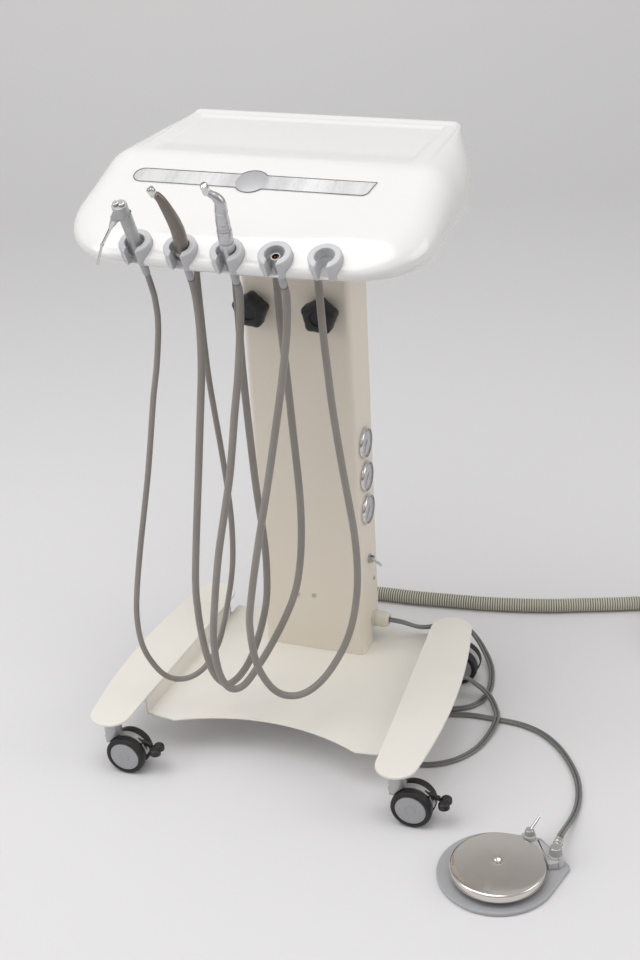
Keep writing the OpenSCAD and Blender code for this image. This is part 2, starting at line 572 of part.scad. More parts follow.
// the nozzle points down and to the left, in front of the head
noz_down = 58.5;
module noz_frame() translate(out_of(0, [-3, 0, 61])) rotate([0, -90 - noz_down, 0]) children();
module syringe_body() color([0.6, 0.6, 0.6]) at() difference() {
  union() {
    in_holder(0) stem_rev([[9.2, -8], [8.8, 10], [8.8, 30], [9, 46], [9, 52], [0, 52]]);
    in_holder(0) translate([-3, 0, 49]) cylinder(r = 10.4, h = 18);
    noz_frame() cylinder(r = 6.5, h = 18.5);
  }
  for (s = [-1, 1]) in_holder(0) translate([-3 + s * 4.2, 0, 61]) cylinder(r = 3.3, h = 10);
  noz_frame() translate([0, 0, 13.5]) cylinder(r = 3.05, h = 20);
}
noz = [[0, 0, 18], [0, 0, 34], [0, 0, 50], [0, 0, 62], [-1.2, 0, 69], [-3.4, 0, 79], [-6, 0, 92]];
module syringe_nozzle() color([0.85, 0.85, 0.87]) at() noz_frame() {
  translate([0, 0, 13.8]) cylinder(r = 3, h = 6);
  translate([0, 0, 18.8]) cylinder(r1 = 5.2, r2 = 2.2, h = 15);
  sweep(curve(noz, 3), 1.6, 12);
}
module button(s) color([0.8, 0.8, 0.82]) at() in_holder(0) translate([-3 + s * 4.2, 0, 0]) {
  translate([0, 0, 63.2]) cylinder(r = 3.22, h = 6);
  translate([0, 0, 69.1]) cylinder(r = 3.9, h = 1.8);
}
module syringe_button_air() button(-1);
module syringe_button_water() button(1);
tp = [[0, 0, -17], [1.2, 0, -6], [3.6, 0, 8], [5.2, 0, 25], [4.6, 0, 42], [2.2, 0, 58],
  [-0.9, 0, 73], [-3.8, 0, 84], [-8, 0, 92]];
tr = [9.2, 9.5, 9.6, 9.4, 8.9, 8.1, 7.1, 6, 5];
th = [-12, 0, 96];
module turbine_handpiece() color([0.42, 0.37, 0.33]) at() in_holder(1) {
  stem_rev([[0, -16.6]]);
  difference() {
    union() {
      sweep(curve(tp, 1), tr, 16);
      translate(th) rotate([0, -20, 0]) translate([0, 0, -7]) cylinder(r = 5.4, h = 13);
    }
    translate(th) rotate([0, -20, 0]) translate([0, 0, 4.6]) cylinder(r = 3.9, h = 10);
  }
}
module turbine_button() color([0.75, 0.75, 0.77]) at() in_holder(1) translate(th)
  rotate([0, -20, 0]) translate([0, 0, 5.3]) cylinder(r = 3.8, h = 1.5);
mlean = 6.3;
module on_motor() at() in_holder(2) translate([0, 0, -20]) rotate([0, mlean, 0]) children();
module micromotor() color([0.75, 0.75, 0.77]) {
  at() in_holder(2) stem_rev([[8.6, -16.2], [0, -16.2]]);
  on_motor() {
    rotate_extrude() polygon([[0, 3], [8.4, 3], [9, 10], [9.9, 24], [9.9, 38], [9.4, 39], [9.4, 40.5],
      [9.9, 41.5], [9.9, 60], [9, 62], [9, 66], [0, 66]]);
    cylinder(r = 3, h = 74);
  }
}
cp = [[0, 0, 84], [0.4, 0, 92], [1, 0, 100], [0.8, 0, 108], [-3, 0, 115], [-9, 0, 119], [-14, 0, 122]];
cr = [8.4, 8.2, 7.9, 7.3, 6.2, 5, 4.4];
ch = [-16, 0, 128];
module contra_angle() color([0.85, 0.85, 0.87]) on_motor() {
  difference() {
    rotate_extrude() polygon([[0, 66.3], [9.2, 66.3], [9.4, 74], [9, 79], [8.4, 84.5], [0, 84.5]]);
    translate([0, 0, 60]) cylinder(r = 3.06, h = 14.5);
  }
  sweep(cp, cr, 16);
  translate(ch) rotate([0, -12, 0]) translate([0, 0, -9]) cylinder(r = 5.4, h = 15);
  translate(ch) rotate([0, -12, 0]) translate([0, 0, 6]) cylinder(r1 = 5, r2 = 3.6, h = 1.4);
}
module hose_coupler() color([0.7, 0.7, 0.68]) at() in_holder(3) difference() {
  stem_rev([[8.2, -12], [6.9, -9], [6.9, -4], [0, -4]]);
  translate([0, 0, -12]) cylinder(r = 4.6, h = 20);
}

// ---- foot control ----
fb_t = 6;
module foot_base() color([0.68, 0.68, 0.7]) at() difference() {
  union() {
    linear_extrude(fb_t) hull() {
      translate([fbx, fby]) circle(r = fbase_r);
      translate(f_corner) circle(r = fcr);
      translate(f_back) circle(r = 8);
    }
    translate([fx, fy, fb_t - 0.1]) cylinder(r = 7, h = 8);
  }
  translate([fx, fy, 2]) cylinder(r = 4.06, h = 40);
}
module foot_disc() color([0.85, 0.85, 0.87]) at() translate([fx, fy, 0]) {
  difference() {
    rotate_extrude() polygon([[0, disc_z - 3], [disc_r - 5, disc_z - 5.5], [disc_r - 4, disc_z - 13],
      [disc_r - 1, disc_z - 13], [disc_r, disc_z - 11.5], [disc_r, disc_z - 4],
      [disc_r - 1.2, disc_z - 1.6], [disc_r - 5, disc_z - 0.6], [40, disc_z + 2.2],
      [14, disc_z + 3.4], [6, disc_z + 3], [0, disc_z + 2.2]]);
    translate([0, 0, disc_z]) cylinder(r = 3, h = 20);
  }
  difference() {
    cylinder(r = 10.5, h = disc_z - 2);
    translate([0, 0, -1]) cylinder(r = 9.2, h = 23);
    translate([0, 0, -1]) cylinder(r = 20, h = fb_t + disc_travel + 1.5);
  }
  translate([0, 0, fb_t + 1.5]) cylinder(r = 4, h = disc_z - fb_t - 2);
}
coil_n = 4;
module foot_spring() color([0.6, 0.6, 0.62]) at() translate([fx, fy, 0])
  sweep([for (i = [0:48]) let (a = i * 360 * coil_n / 48, z = fb_t + 1.1 + i * (disc_z - 3.4 - fb_t - 2.2) / 48)
    [14 * cos(a), 14 * sin(a), z]], 0.8, 6);
module sector(a0, a1, r0, r1, h) linear_extrude(h) polygon(concat(
  [for (i = [0:24]) r1 * [cos(a0 + (a1 - a0) * i / 24), sin(a0 + (a1 - a0) * i / 24)]],
  [for (i = [24:-1:0]) r0 * [cos(a0 + (a1 - a0) * i / 24), sin(a0 + (a1 - a0) * i / 24)]]));
module foot_housing() color([0.72, 0.72, 0.74]) at() difference() {
  union() {
    translate([fx, fy, fb_t]) sector(24, 80, disc_r + 3, disc_r + 19, 12);
    translate([k1[0], k1[1], fb_t]) cylinder(r1 = 11, r2 = 9, h = 20);
    translate([k2[0], k2[1], fb_t]) cylinder(r1 = 13, r2 = 10, h = 18);
  }
  translate([k1[0], k1[1], fb_t + 8]) cylinder(r = 3.06, h = 30);
  translate([k2[0], k2[1], fb_t + 8]) cylinder(r = 5.05, h = 30);
}
module foot_lever() color([0.85, 0.85, 0.87]) at() translate([k1[0], k1[1], 0]) {
  translate([0, 0, fb_t + 10]) cylinder(r = 3, h = 16);
  translate([0, 0, fb_t + 20.4]) cylinder(r1 = 7.5, r2 = 6, h = 8);
  translate([0, 0, fb_t + 25]) rotate([0, 62, 66]) cylinder(r1 = 2.4, r2 = 2, h = 26);
}
k2z = fb_t + 24;
module foot_fitting() color([0.85, 0.85, 0.87]) at() translate([k2[0], k2[1], 0]) difference() {
  union() {
    translate([0, 0, fb_t + 9]) cylinder(r = 5, h = 14);
    translate([0, 0, fb_t + 18]) cylinder(r1 = 9.5, r2 = 8, h = 12);
    translate([0, 0, k2z]) rotate([-90, 0, 0]) cylinder(r = 5.6, h = 22);
    translate([0, 14, k2z]) rotate([-90, 0, 0]) cylinder(r = 6.8, h = 5);
  }
  translate([0, 18, k2z]) rotate([-90, 0, 0]) cylinder(r = 5.35, h = 10);
}
// the twin hose's centre route, floor part at the tube's own radius
fh = [[84, 105, 107.5], [109, 105, 107.5], [132, 107, 105], [152, 120, 92], [168, 142, 81],
  [186, 170, 74], [206, 194, 60], [228, 199, 36], [248, 187, 15], [263, 164, 6], [272, 136, 3],
  [277, 104, 3], [274, 74, 3], [260, 50, 3], [236, 36, 3], [205, 24, 3], [178, 18, 5], [156, 24, 13],
  [148, 38, 24], [158, 53, 35], [182, 60, 42], [213, 60, 44], [241, 70, 44], [261, 79, 26], [281, 75, 14], [300, 48, 9],
  [310, 18, 9.5], [306, -22, 5], [295, -58, 3], [275, -88, 3], [252, -106, 3], [224, -116, 3],
  [190, -112, 3], [166, -90, 3], [158, -55, 3], [170, -18, 3], [196, 8, 3], [232, 20, 3],
  [268, 27, 3], [306, 27, 3], [345, 25, 3], [380, 13, 3], [410, -10, 3], [436, -42, 3],
  [459, -84, 3], [471, -128, 3], [473, -168, 5], [471, -205, 14], [k2[0], k2[1] + 46, 25],
  [k2[0], k2[1] + 29, 30], [k2[0], k2[1] + 18.2, 30]];
fh_c = [for (q = fh) q + [0, 0, q[2] < 5 ? twin_d / 2 + 0.4 - q[2] : 0]];
fhs = curve(fh_c, 2);
function side_of(p, i) = let (t = tan3(p, i)) unit([t[1], -t[0], 0]);
function twin(s) = [for (i = [0:len(fhs) - 1]) fhs[i] + s * (twin_d / 2 + 0.12) * side_of(fhs, i)];
module foot_hose_a() color([0.4, 0.4, 0.4]) at() sweep(twin(-1), twin_d / 2, 8);
module foot_hose_b() color([0.4, 0.4, 0.4]) at() sweep(twin(1), twin_d / 2, 8);

// ---- supply hose ----
cz = cond_d / 2 + 0.2;
cr0 = [[-72, 131, 130], [-72, 144, 130], [-72, 170, 127], [-74, 200, 106], [-72, 232, 70],
  [-60, 268, 34], [-36, 300, cz + 3], [-4, 318, cz], [30, 323, cz], [57, 324, cz], [92, 326, cz],
  [128, 330, cz], [164, 334, cz], [199, 338, cz], [242, 345, cz], [286, 354, cz], [328, 365, cz],
  [368, 378, cz], [418, 394, cz], [466, 411, cz], [520, 430, cz], [606, 461, cz]];
cpath = curve(cr0, 10);
ccum = cum(cpath);
function at_s(s, i = 0) = i >= len(cpath) - 2 || ccum[i + 1] >= s
  ? cpath[i] + (cpath[i + 1] - cpath[i]) * (s - ccum[i]) / (ccum[i + 1] - ccum[i]) : at_s(s, i + 1);
c_len = ccum[len(ccum) - 1];
rib_s0 = 225;
rib_n = 126;
rib_h = 1.1;
c_sts = concat([0, 12, 24, 40, 60, 85, 110, 135, 160, 180, 200, 215],
  [for (i = [0:rib_n - 1]) for (h = [0, 1]) rib_s0 + (i + 0.5 * h) * rib_pitch],
  [for (i = [1:8]) let (s1 = rib_s0 + rib_n * rib_pitch) s1 + (c_len - s1) * i / 8]);
c_rad = concat([for (i = [0:11]) cond_d / 2],
  [for (i = [0:rib_n - 1]) for (h = [0, 1]) h == 0 ? cond_d / 2 : cond_d / 2 - rib_h],
  [for (i = [1:8]) cond_d / 2]);
module conduit_hose() color([0.66, 0.62, 0.53]) at() difference() {
  sweep([for (s = c_sts) at_s(s)], c_rad, 8);
  sweep(c_in, cond_d / 2 - 3.2, 8);
}
// coil past the picture's edge: turns about a centre to the right of the run
c_end = cpath[len(cpath) - 1];
c_dir = unit(cpath[len(cpath) - 1] - cpath[len(cpath) - 2]);
c_in = concat([cr0[0] - [0, 1, 0]], [for (i = [1:59]) at_s(c_len * i / 60)], [c_end + c_dir]);
coil_r = 132;
coil_turns = 1.35;
coil_c = c_end + c_dir * 20 + coil_r * [c_dir[1], -c_dir[0], 0];
coil_a0 = atan2(c_dir[0], -c_dir[1]);
function coil_p(u) = let (a = coil_a0 - u * 360, r = coil_r + 16 * max(0, u - 0.3))
  coil_c + [r * cos(a), r * sin(a), 1.5 * min(1, 10 * u)
    + (cond_d + 0.8) * max(0, min(1, (u - 0.45) / 0.5))];
coil_pts = concat([c_end], [for (i = [0:32]) coil_p(coil_turns * i / 32)]);
coil_last = coil_pts[len(coil_pts) - 1];
coil_dir = unit(coil_last - coil_pts[len(coil_pts) - 2]);
module conduit_coil() color([0.66, 0.62, 0.53]) at() sweep(concat(coil_pts,
  [coil_last + coil_dir * 12]), cond_d / 2, 8);
tie_u = 0.2;
tie_w = 6;
module conduit_tie() color([0.1, 0.1, 0.1]) at() {
  a = coil_a0 - tie_u * 360;
  r2 = coil_r + 16 * (tie_u + 0.7);
  h = 2 * cond_d + 2.6;
  translate([coil_c[0], coil_c[1], 0]) rotate([0, 0, a]) translate([0, tie_w / 2, 0])
    rotate([90, 0, 0]) linear_extrude(tie_w) difference() {
      translate([coil_r - cond_d / 2 - 3.2, 0.2]) square([r2 - coil_r + cond_d + 4.9, h + 1.8]);
      translate([coil_r - cond_d / 2 - 2, 1.3]) square([r2 - coil_r + cond_d + 2.5, h - 0.3]);
    }
}
module conduit_plug() color([0.3, 0.3, 0.32]) at() translate(coil_last + coil_dir * 12)
  rotate([0, 0, atan2(coil_dir[1], coil_dir[0])]) rotate([0, 90, 0]) {
    cylinder(r = 15, h = 26);
    translate([0, 0, 26]) cylinder(r = 12.5, h = 16);
    translate([0, 0, 42]) cylinder(r = 6, h = 14);
  }
min_gap = min([for (i = [0:32]) for (j = [0:32]) if (j - i > 6)
  norm(coil_p(coil_turns * i / 32) - coil_p(coil_turns * j / 32)) - cond_d]);
echo(coil_gap = min_gap, hose_len = c_len, coil_len = cum(coil_pts)[len(coil_pts) - 1]);
echo(len_h = [for (i = [0:3]) let (h = hose_pts(i, [h1, h2, h3, h4][i])) cum(h)[len(h) - 1]]);
echo(foot_len = cum(fhs)[len(fhs) - 1]);

base_plate();
leg_left();
leg_right();
caster_stems();
column_shell();
column_back_cover();
valve_block();
gauge_cases();
gauge_dials();
gauge_glasses();
gauge_needle_1();
gauge_needle_2();
gauge_needle_3();
toggle_body();
toggle_lever();
hose_gland();
screws();
mast();
clamp_knob_left();
clamp_knob_right();
head_shell();
head_pan();
label_plate();
holders();
hose_outlets();
hose_1();
hose_2();
hose_3();
hose_4();
syringe_body();
syringe_nozzle();
syringe_button_air();
syringe_button_water();
turbine_handpiece();
turbine_button();
contra_angle();
micromotor();
hose_coupler();
foot_base();
foot_housing();
foot_disc();
foot_spring();
foot_lever();
foot_fitting();
foot_hose_a();
foot_hose_b();
conduit_hose();
conduit_coil();
conduit_tie();
conduit_plug();
caster_housing_fl();
caster_housing_fr();
caster_housing_bl();
caster_housing_br();
caster_wheels_fl();
caster_wheels_fr();
caster_wheels_bl();
caster_wheels_br();
caster_pedal_fl();
caster_pedal_fr();
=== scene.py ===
import json
import math
import random

import bmesh
import bpy
from mathutils import Matrix, Vector

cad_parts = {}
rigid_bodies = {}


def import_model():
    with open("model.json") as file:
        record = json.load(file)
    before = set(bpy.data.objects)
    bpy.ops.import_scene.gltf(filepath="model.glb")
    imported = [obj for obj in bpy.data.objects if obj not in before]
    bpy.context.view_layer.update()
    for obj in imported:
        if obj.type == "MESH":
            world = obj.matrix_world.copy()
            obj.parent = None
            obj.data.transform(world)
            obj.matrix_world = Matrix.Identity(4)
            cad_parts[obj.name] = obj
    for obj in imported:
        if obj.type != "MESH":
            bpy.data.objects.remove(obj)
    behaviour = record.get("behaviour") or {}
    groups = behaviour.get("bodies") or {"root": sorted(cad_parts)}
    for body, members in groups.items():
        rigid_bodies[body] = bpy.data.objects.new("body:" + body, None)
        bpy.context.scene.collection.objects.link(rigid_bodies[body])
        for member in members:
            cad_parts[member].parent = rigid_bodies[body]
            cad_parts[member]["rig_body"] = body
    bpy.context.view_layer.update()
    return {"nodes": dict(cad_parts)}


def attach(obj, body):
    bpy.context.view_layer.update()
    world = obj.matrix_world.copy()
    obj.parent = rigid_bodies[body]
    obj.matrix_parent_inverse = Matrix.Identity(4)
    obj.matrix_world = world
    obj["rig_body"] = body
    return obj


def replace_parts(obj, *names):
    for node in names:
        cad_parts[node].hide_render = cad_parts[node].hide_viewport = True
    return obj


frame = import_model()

NODES = frame["nodes"]
random.seed(7)

# The part's source gives places from the cart's centre plane in millimetres;
# this moves them to the middle of the box on the floor, in metres.
OX = -111.956
OY = 93.0


def at(x, y, z):
    return Vector(((x + OX) / 1000, (y + OY) / 1000, z / 1000))


def place(x, y, z, rot=None):
    """Matrix from a piece's own millimetres to the frame."""
    m = Matrix.Translation(at(x, y, z))
    if rot:
        m = m @ rot
    return m @ Matrix.Scale(0.001, 4)


def turn(axis, degrees):
    return Matrix.Rotation(math.radians(degrees), 4, axis)


# ---- camera ----
AZIMUTH = math.radians(21.07)
ELEVATION = math.radians(27.93)
ROLL = math.radians(3.13)
EYE = (0.7214, -1.9622, 1.5780)
FOCAL_PX = 1658.3
PHOTO_H = 960


def make_camera():
    data = bpy.data.cameras.new("camera")
    data.sensor_fit = "VERTICAL"
    data.sensor_height = 36
    data.lens = FOCAL_PX / PHOTO_H * 36
    data.clip_start = 0.05
    data.clip_end = 60
    cam = bpy.data.objects.new("camera", data)
    bpy.context.scene.collection.objects.link(cam)
    ca, sa = math.cos(AZIMUTH), math.sin(AZIMUTH)
    ce, se = math.cos(ELEVATION), math.sin(ELEVATION)
    forward = Vector((-sa * ce, ca * ce, -se))
    right = Vector((ca, sa, 0))
    up = right.cross(forward)
    right2 = math.cos(ROLL) * right - math.sin(ROLL) * up
    up2 = math.sin(ROLL) * right + math.cos(ROLL) * up
    rot = Matrix((right2, up2, -forward)).transposed()
    cam.matrix_world = Matrix.Translation(EYE) @ rot.to_4x4()
    bpy.context.scene.camera = cam


make_camera()


# ---- materials ----
def principled(name):
    mat = bpy.data.materials.new(name)
    mat.use_nodes = True
    return mat, mat.node_tree, mat.node_tree.nodes["Principled BSDF"]


def add(tree, kind, **inputs):
    node = tree.nodes.new(kind)
    for key, value in inputs.items():
        node.inputs[key.replace("_", " ")].default_value = value
    return node


NOISE_ROUGHNESS = 0.55


def coordinates(tree, stretch=(1, 1, 1)):
    """The piece's own coordinates in metres, so that a pattern moves with its piece."""
    coord = tree.nodes.new("ShaderNodeTexCoord")
    mapping = tree.nodes.new("ShaderNodeMapping")
    mapping.inputs["Scale"].default_value = stretch
    tree.links.new(coord.outputs["Object"], mapping.inputs["Vector"])
    return mapping.outputs["Vector"]


def noise(tree, vector, scale, detail=4.0):
    node = add(tree, "ShaderNodeTexNoise", Scale=scale, Detail=detail,
               Roughness=NOISE_ROUGHNESS)
    tree.links.new(vector, node.inputs["Vector"])
    return node.outputs["Fac"]


def ranged(tree, value, low, high, a=0.3, b=0.7):
    node = tree.nodes.new("ShaderNodeMapRange")
    for key, v in (("From Min", a), ("From Max", b), ("To Min", low), ("To Max", high)):
        node.inputs[key].default_value = v
    tree.links.new(value, node.inputs["Value"])
    return node.outputs["Result"]


def mixed(tree, fac, one, two):
    node = tree.nodes.new("ShaderNodeMix")
    node.data_type = "RGBA"
    node.inputs[6].default_value = (*one, 1)
    node.inputs[7].default_value = (*two, 1)
    tree.links.new(fac, node.inputs[0])
    return node.outputs[2]


def shade(color, k):
    return tuple(min(1, max(0, c * k)) for c in color)


def surface(name, color, rough=0.4, metal=0.0, spread=0.05, patch=9.0, grain=260.0,
            bump=0.05, depth=0.0002, rough_spread=0.06, stretch=(1, 1, 1), coat=0.0,
            coat_rough=0.1, sheen=0.0, patch_tint=(1, 1, 1), drift_stretch=(1, 1, 1)):
    """A finish with slow colour drift, uneven gloss and a fine relief."""
    mat, tree, bsdf = principled(name)
    vector = coordinates(tree, drift_stretch)
    fine_vector = coordinates(tree, stretch)
    drift = ranged(tree, noise(tree, vector, patch, 3), 0, 1)
    other = shade([c * t for c, t in zip(color, patch_tint)], 1 - spread)
    tree.links.new(mixed(tree, drift, shade(color, 1 + spread * 0.4), other),
                   bsdf.inputs["Base Color"])
    fine = noise(tree, fine_vector, grain, 4)
    tree.links.new(ranged(tree, fine, max(0.02, rough - rough_spread), rough + rough_spread),
                   bsdf.inputs["Roughness"])
    relief = add(tree, "ShaderNodeBump", Strength=bump, Distance=depth)
    tree.links.new(fine, relief.inputs["Height"])
    tree.links.new(relief.outputs["Normal"], bsdf.inputs["Normal"])
    bsdf.inputs["Metallic"].default_value = metal
    bsdf.inputs["Coat Weight"].default_value = coat
    bsdf.inputs["Coat Roughness"].default_value = coat_rough
    bsdf.inputs["Sheen Weight"].default_value = sheen
    bsdf.inputs["Specular IOR Level"].default_value = 0.5
    return mat


IVORY = surface("powder_coat_ivory", (0.84, 0.818, 0.765), 0.42, spread=0.02, grain=900,
                bump=0.16, depth=0.00012, patch=5, patch_tint=(1, 0.995, 0.98))
# Warmer and darker than the ivory: partly the column's own beige tone, partly painted shade from
# the head above and a painted warm bounce.
COLUMN_TONE_AND_SHADE = surface("column_beige_and_painted_shade", (0.80, 0.735, 0.635), 0.42, spread=0.02, grain=900,
                 bump=0.16, depth=0.00012, patch=5)
WHITE = surface("gloss_white_shell", (0.80, 0.80, 0.79), 0.16, spread=0.012, patch=4,
                grain=35, bump=0.02, depth=0.0004, rough_spread=0.03, coat=0.6,
                coat_rough=0.06)
PAN = surface("underside_plastic", (0.66, 0.65, 0.63), 0.5, spread=0.03, grain=700, bump=0.2)
HOLDER = surface("holder_grey", (0.56, 0.567, 0.585), 0.42, spread=0.04, grain=1200,
                 bump=0.12, depth=0.0001)
# The large spread, with the drift stretched along the plate, paints light and dark bands: painted
# reflection bands on the metal.
LABEL = surface("label_metal", (0.86, 0.86, 0.875), 0.34, metal=0.55, spread=0.30, patch=11,
                grain=400, stretch=(3, 0.15, 0.15), bump=0.1, depth=0.00005,
                rough_spread=0.08, drift_stretch=(2.2, 0.05, 0.05))
LABEL_DISC = surface("label_disc", (0.50, 0.50, 0.52), 0.42, metal=0.4, spread=0.05,
                     patch=40, grain=900, bump=0.15, depth=0.00005)
LINE = surface("label_line", (0.12, 0.12, 0.13), 0.5, spread=0.1, grain=900)
BLACK = surface("knob_black", (0.012, 0.012, 0.013), 0.46, spread=0.2, grain=1600,
                bump=0.25, depth=0.0001)
CHROME = surface("chrome", (0.72, 0.71, 0.70), 0.09, metal=1, spread=0.03, patch=30,
                 grain=500, bump=0.01, depth=0.00005, rough_spread=0.04)
# The warm base colour and the warm patches are painted warm reflection on the chrome.
DISC_CHROME_WARM_REFLECTION = surface("polished_disc_painted_warm_reflection", (0.74, 0.71, 0.68), 0.11, metal=1, spread=0.05,
                      patch=12, grain=220, bump=0.015, depth=0.0001, rough_spread=0.05,
                      patch_tint=(1, 0.97, 0.94))
STEEL = surface("plated_steel", (0.50, 0.50, 0.52), 0.3, metal=1, spread=0.07, patch=60,
                grain=900, bump=0.1, depth=0.00008)
BRUSHED = surface("brushed_mast", (0.56, 0.56, 0.57), 0.33, metal=1, spread=0.05,
                  grain=300, stretch=(6, 6, 0.25), bump=0.14, depth=0.00008)
SATIN = surface("satin_silver", (0.56, 0.56, 0.575), 0.31, metal=0.9, spread=0.05,
                patch=50, grain=1400, stretch=(1, 1, 0.3), bump=0.08, depth=0.00005)
GREY_ANO = surface("syringe_grey", (0.44, 0.445, 0.45), 0.36, metal=0.45, spread=0.06,
                   patch=50, grain=1500, bump=0.12, depth=0.00006)
TAUPE = surface("turbine_taupe", (0.20, 0.17, 0.145), 0.33, metal=0.35, spread=0.09,
                patch=45, grain=1500, bump=0.12, depth=0.00006, coat=0.2)
COUPLER = surface("coupler_grey", (0.40, 0.40, 0.39), 0.34, metal=0.6, spread=0.06,
                  patch=60, grain=1500, bump=0.1, depth=0.00005)
COPPER = surface("contact_copper", (0.60, 0.28, 0.12), 0.28, metal=1, spread=0.1,
                 patch=200, grain=1500)
SLEEVE = surface("tail_sleeve", (0.43, 0.44, 0.46), 0.42, spread=0.05, patch=60,
                 grain=1300, bump=0.1, depth=0.0001)
HOSE = surface("hose_silicone", (0.27, 0.25, 0.232), 0.40, spread=0.10, patch=16,
               grain=900, bump=0.14, depth=0.00012, rough_spread=0.08, sheen=0.15,
               patch_tint=(1, 0.98, 0.95))
TWIN = surface("twin_hose_pvc", (0.165, 0.165, 0.16), 0.20, spread=0.10, patch=20,
               grain=700, bump=0.06, depth=0.0001, coat=0.5, coat_rough=0.08)
OUTLET = surface("outlet_rubber", (0.13, 0.13, 0.13), 0.5, spread=0.1, grain=1200,
                 bump=0.2, depth=0.0001)
RIDGE = surface("conduit_ridge", (0.60, 0.585, 0.50), 0.42, spread=0.06, patch=14,
                grain=900, bump=0.1, depth=0.0001)
# The grooves' dark colour is painted shade in the conduit's recesses.
GROOVE_PAINTED_SHADE = surface("conduit_groove_painted_shade", (0.17, 0.165, 0.125), 0.6, spread=0.12, patch=20,
                 grain=900, bump=0.2, depth=0.0001)
BLACK_PLASTIC = surface("pedal_black", (0.014, 0.014, 0.015), 0.36, spread=0.2,
                        grain=1300, bump=0.2, depth=0.0001)
PLUG = surface("plug_grey", (0.07, 0.07, 0.075), 0.45, spread=0.12, grain=1200, bump=0.2)
FOOT_GREY = surface("foot_base_grey", (0.42, 0.42, 0.435), 0.40, spread=0.04, patch=12,
                    grain=1100, bump=0.18, depth=0.00012)
FOOT_TOP = surface("foot_housing_grey", (0.50, 0.50, 0.505), 0.40, spread=0.04, patch=20,
                   grain=1100, bump=0.16, depth=0.0001)
FOOT_CONE = surface("foot_cone_grey", (0.34, 0.34, 0.335), 0.42, spread=0.05, patch=30,
                    grain=1100, bump=0.16, depth=0.0001)
SPRING = surface("spring_steel", (0.42, 0.42, 0.43), 0.3, metal=1, spread=0.1, grain=900)
CASTER = surface("caster_silver", (0.47, 0.47, 0.475), 0.34, metal=0.45, spread=0.05,
                 patch=40, grain=1100, bump=0.12, depth=0.0001)
TYRE = surface("tyre_rubber", (0.013, 0.012, 0.012), 0.5, spread=0.25, patch=50,
               grain=1400, bump=0.3, depth=0.00015, rough_spread=0.1)
HUB = surface("hub_grey", (0.40, 0.40, 0.41), 0.34, metal=0.4, spread=0.04, patch=30,
              grain=1200, bump=0.12, depth=0.0001)
DIAL = surface("dial_white", (0.70, 0.70, 0.68), 0.5, spread=0.02, grain=900, bump=0.03)
INK = surface("dial_ink", (0.02, 0.02, 0.022), 0.5, spread=0.2, grain=900, bump=0.05)
INK_RED = surface("dial_red", (0.42, 0.03, 0.025), 0.45, spread=0.1, grain=900, bump=0.05)
GLAND = surface("gland_cream", (0.70, 0.67, 0.58), 0.42, spread=0.04, patch=30,
                grain=1000, bump=0.12, depth=0.0001)
ALLOY = surface("valve_alloy", (0.38, 0.40, 0.43), 0.36, metal=0.9, spread=0.06,
                grain=700, stretch=(1, 1, 5), bump=0.12)


def make_glass():
    mat, tree, bsdf = principled("gauge_glass")
    vector = coordinates(tree)
    bsdf.inputs["Base Color"].default_value = (0.96, 0.98, 0.98, 1)
    bsdf.inputs["Transmission Weight"].default_value = 1
    bsdf.inputs["IOR"].default_value = 1.45
    tree.links.new(ranged(tree, noise(tree, vector, 300), 0.0, 0.012),
                   bsdf.inputs["Roughness"])
    return mat


GLASS = make_glass()


# ---- meshes ----
def link(name, mesh, mats, body, sharp=35):
    obj = bpy.data.objects.new(name, mesh)
    bpy.context.scene.collection.objects.link(obj)
    for m in mats:
        mesh.materials.append(m)
    for p in mesh.polygons:
        p.use_smooth = True
    mesh.set_sharp_from_angle(angle=math.radians(sharp))
    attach(obj, body)
    return obj


def build(name, verts, faces, mats, body, slots=None, sharp=35):
    """verts in the frame, in metres; slots gives each face's material."""
    mesh = bpy.data.meshes.new(name)
    mesh.from_pydata([tuple(v) for v in verts], [], faces)
    if slots:
        for p, s in zip(mesh.polygons, slots):
            p.material_index = s
    mesh.update()
    return link(name, mesh, mats, body, sharp)


def join_parts(parts):
    verts, faces, slots = [], [], []
    for v, f, s in parts:
        base = len(verts)
        verts += v
        faces += [tuple(i + base for i in q) for q in f]
        slots += s
    return verts, faces, slots


def lathe_part(matrix, profile, n=48, slot_of=None):
    """profile: (radius, height) pairs in mm about the piece's own Z."""
    verts, faces, slots, rings = [], [], [], []
    for r, z in profile:
        if r < 1e-6:
            rings.append([len(verts)] * n)
            verts.append(matrix @ Vector((0, 0, z)))
        else:
            rings.append(list(range(len(verts), len(verts) + n)))
            verts += [matrix @ Vector((r * math.cos(2 * math.pi * i / n),
                                       r * math.sin(2 * math.pi * i / n), z))
                      for i in range(n)]
    for k in range(len(profile) - 1):
        a, b = rings[k], rings[k + 1]
        for i in range(n):
            j = (i + 1) % n
            q = []
            for v in (a[i], a[j], b[j], b[i]):
                if v not in q:
                    q.append(v)
            if len(q) > 2:
                faces.append(tuple(q))
                slots.append(slot_of(k) if slot_of else 0)
    return verts, faces, slots


def lathe(name, matrix, profile, mats, body, n=48, sharp=35):
    v, f, s = lathe_part(matrix, profile, n)
    return build(name, v, f, mats, body, s, sharp)


def catmull(a, b, c, d, t):
    return 0.5 * ((2 * b) + (c - a) * t + (2 * a - 5 * b + 4 * c - d) * t * t
                  + (3 * b - a - 3 * c + d) * t * t * t)


def smooth_line(points, steps):
    """The same curve through the points as in the part's source."""
    p = [Vector(q) for q in points]
    n = len(p)
    out = []
    for i in range(n - 1):
        for j in range(steps):
            out.append(catmull(p[max(i - 1, 0)], p[i], p[i + 1], p[min(i + 2, n - 1)],
                               j / steps))
    return out + [p[-1]]


def tangent(p, i):
    return (p[min(i + 1, len(p) - 1)] - p[max(i - 1, 0)]).normalized()


def carried_frames(p):
    out, u = [], None
    for i in range(len(p)):
        t = tangent(p, i)
        if u is None:
            u = Vector((0, 0, 1)) if abs(t.z) < 0.9 else Vector((1, 0, 0))
        v = (u - t * u.dot(t)).normalized()
        out.append((v, t.cross(v)))
        u = v
    return out


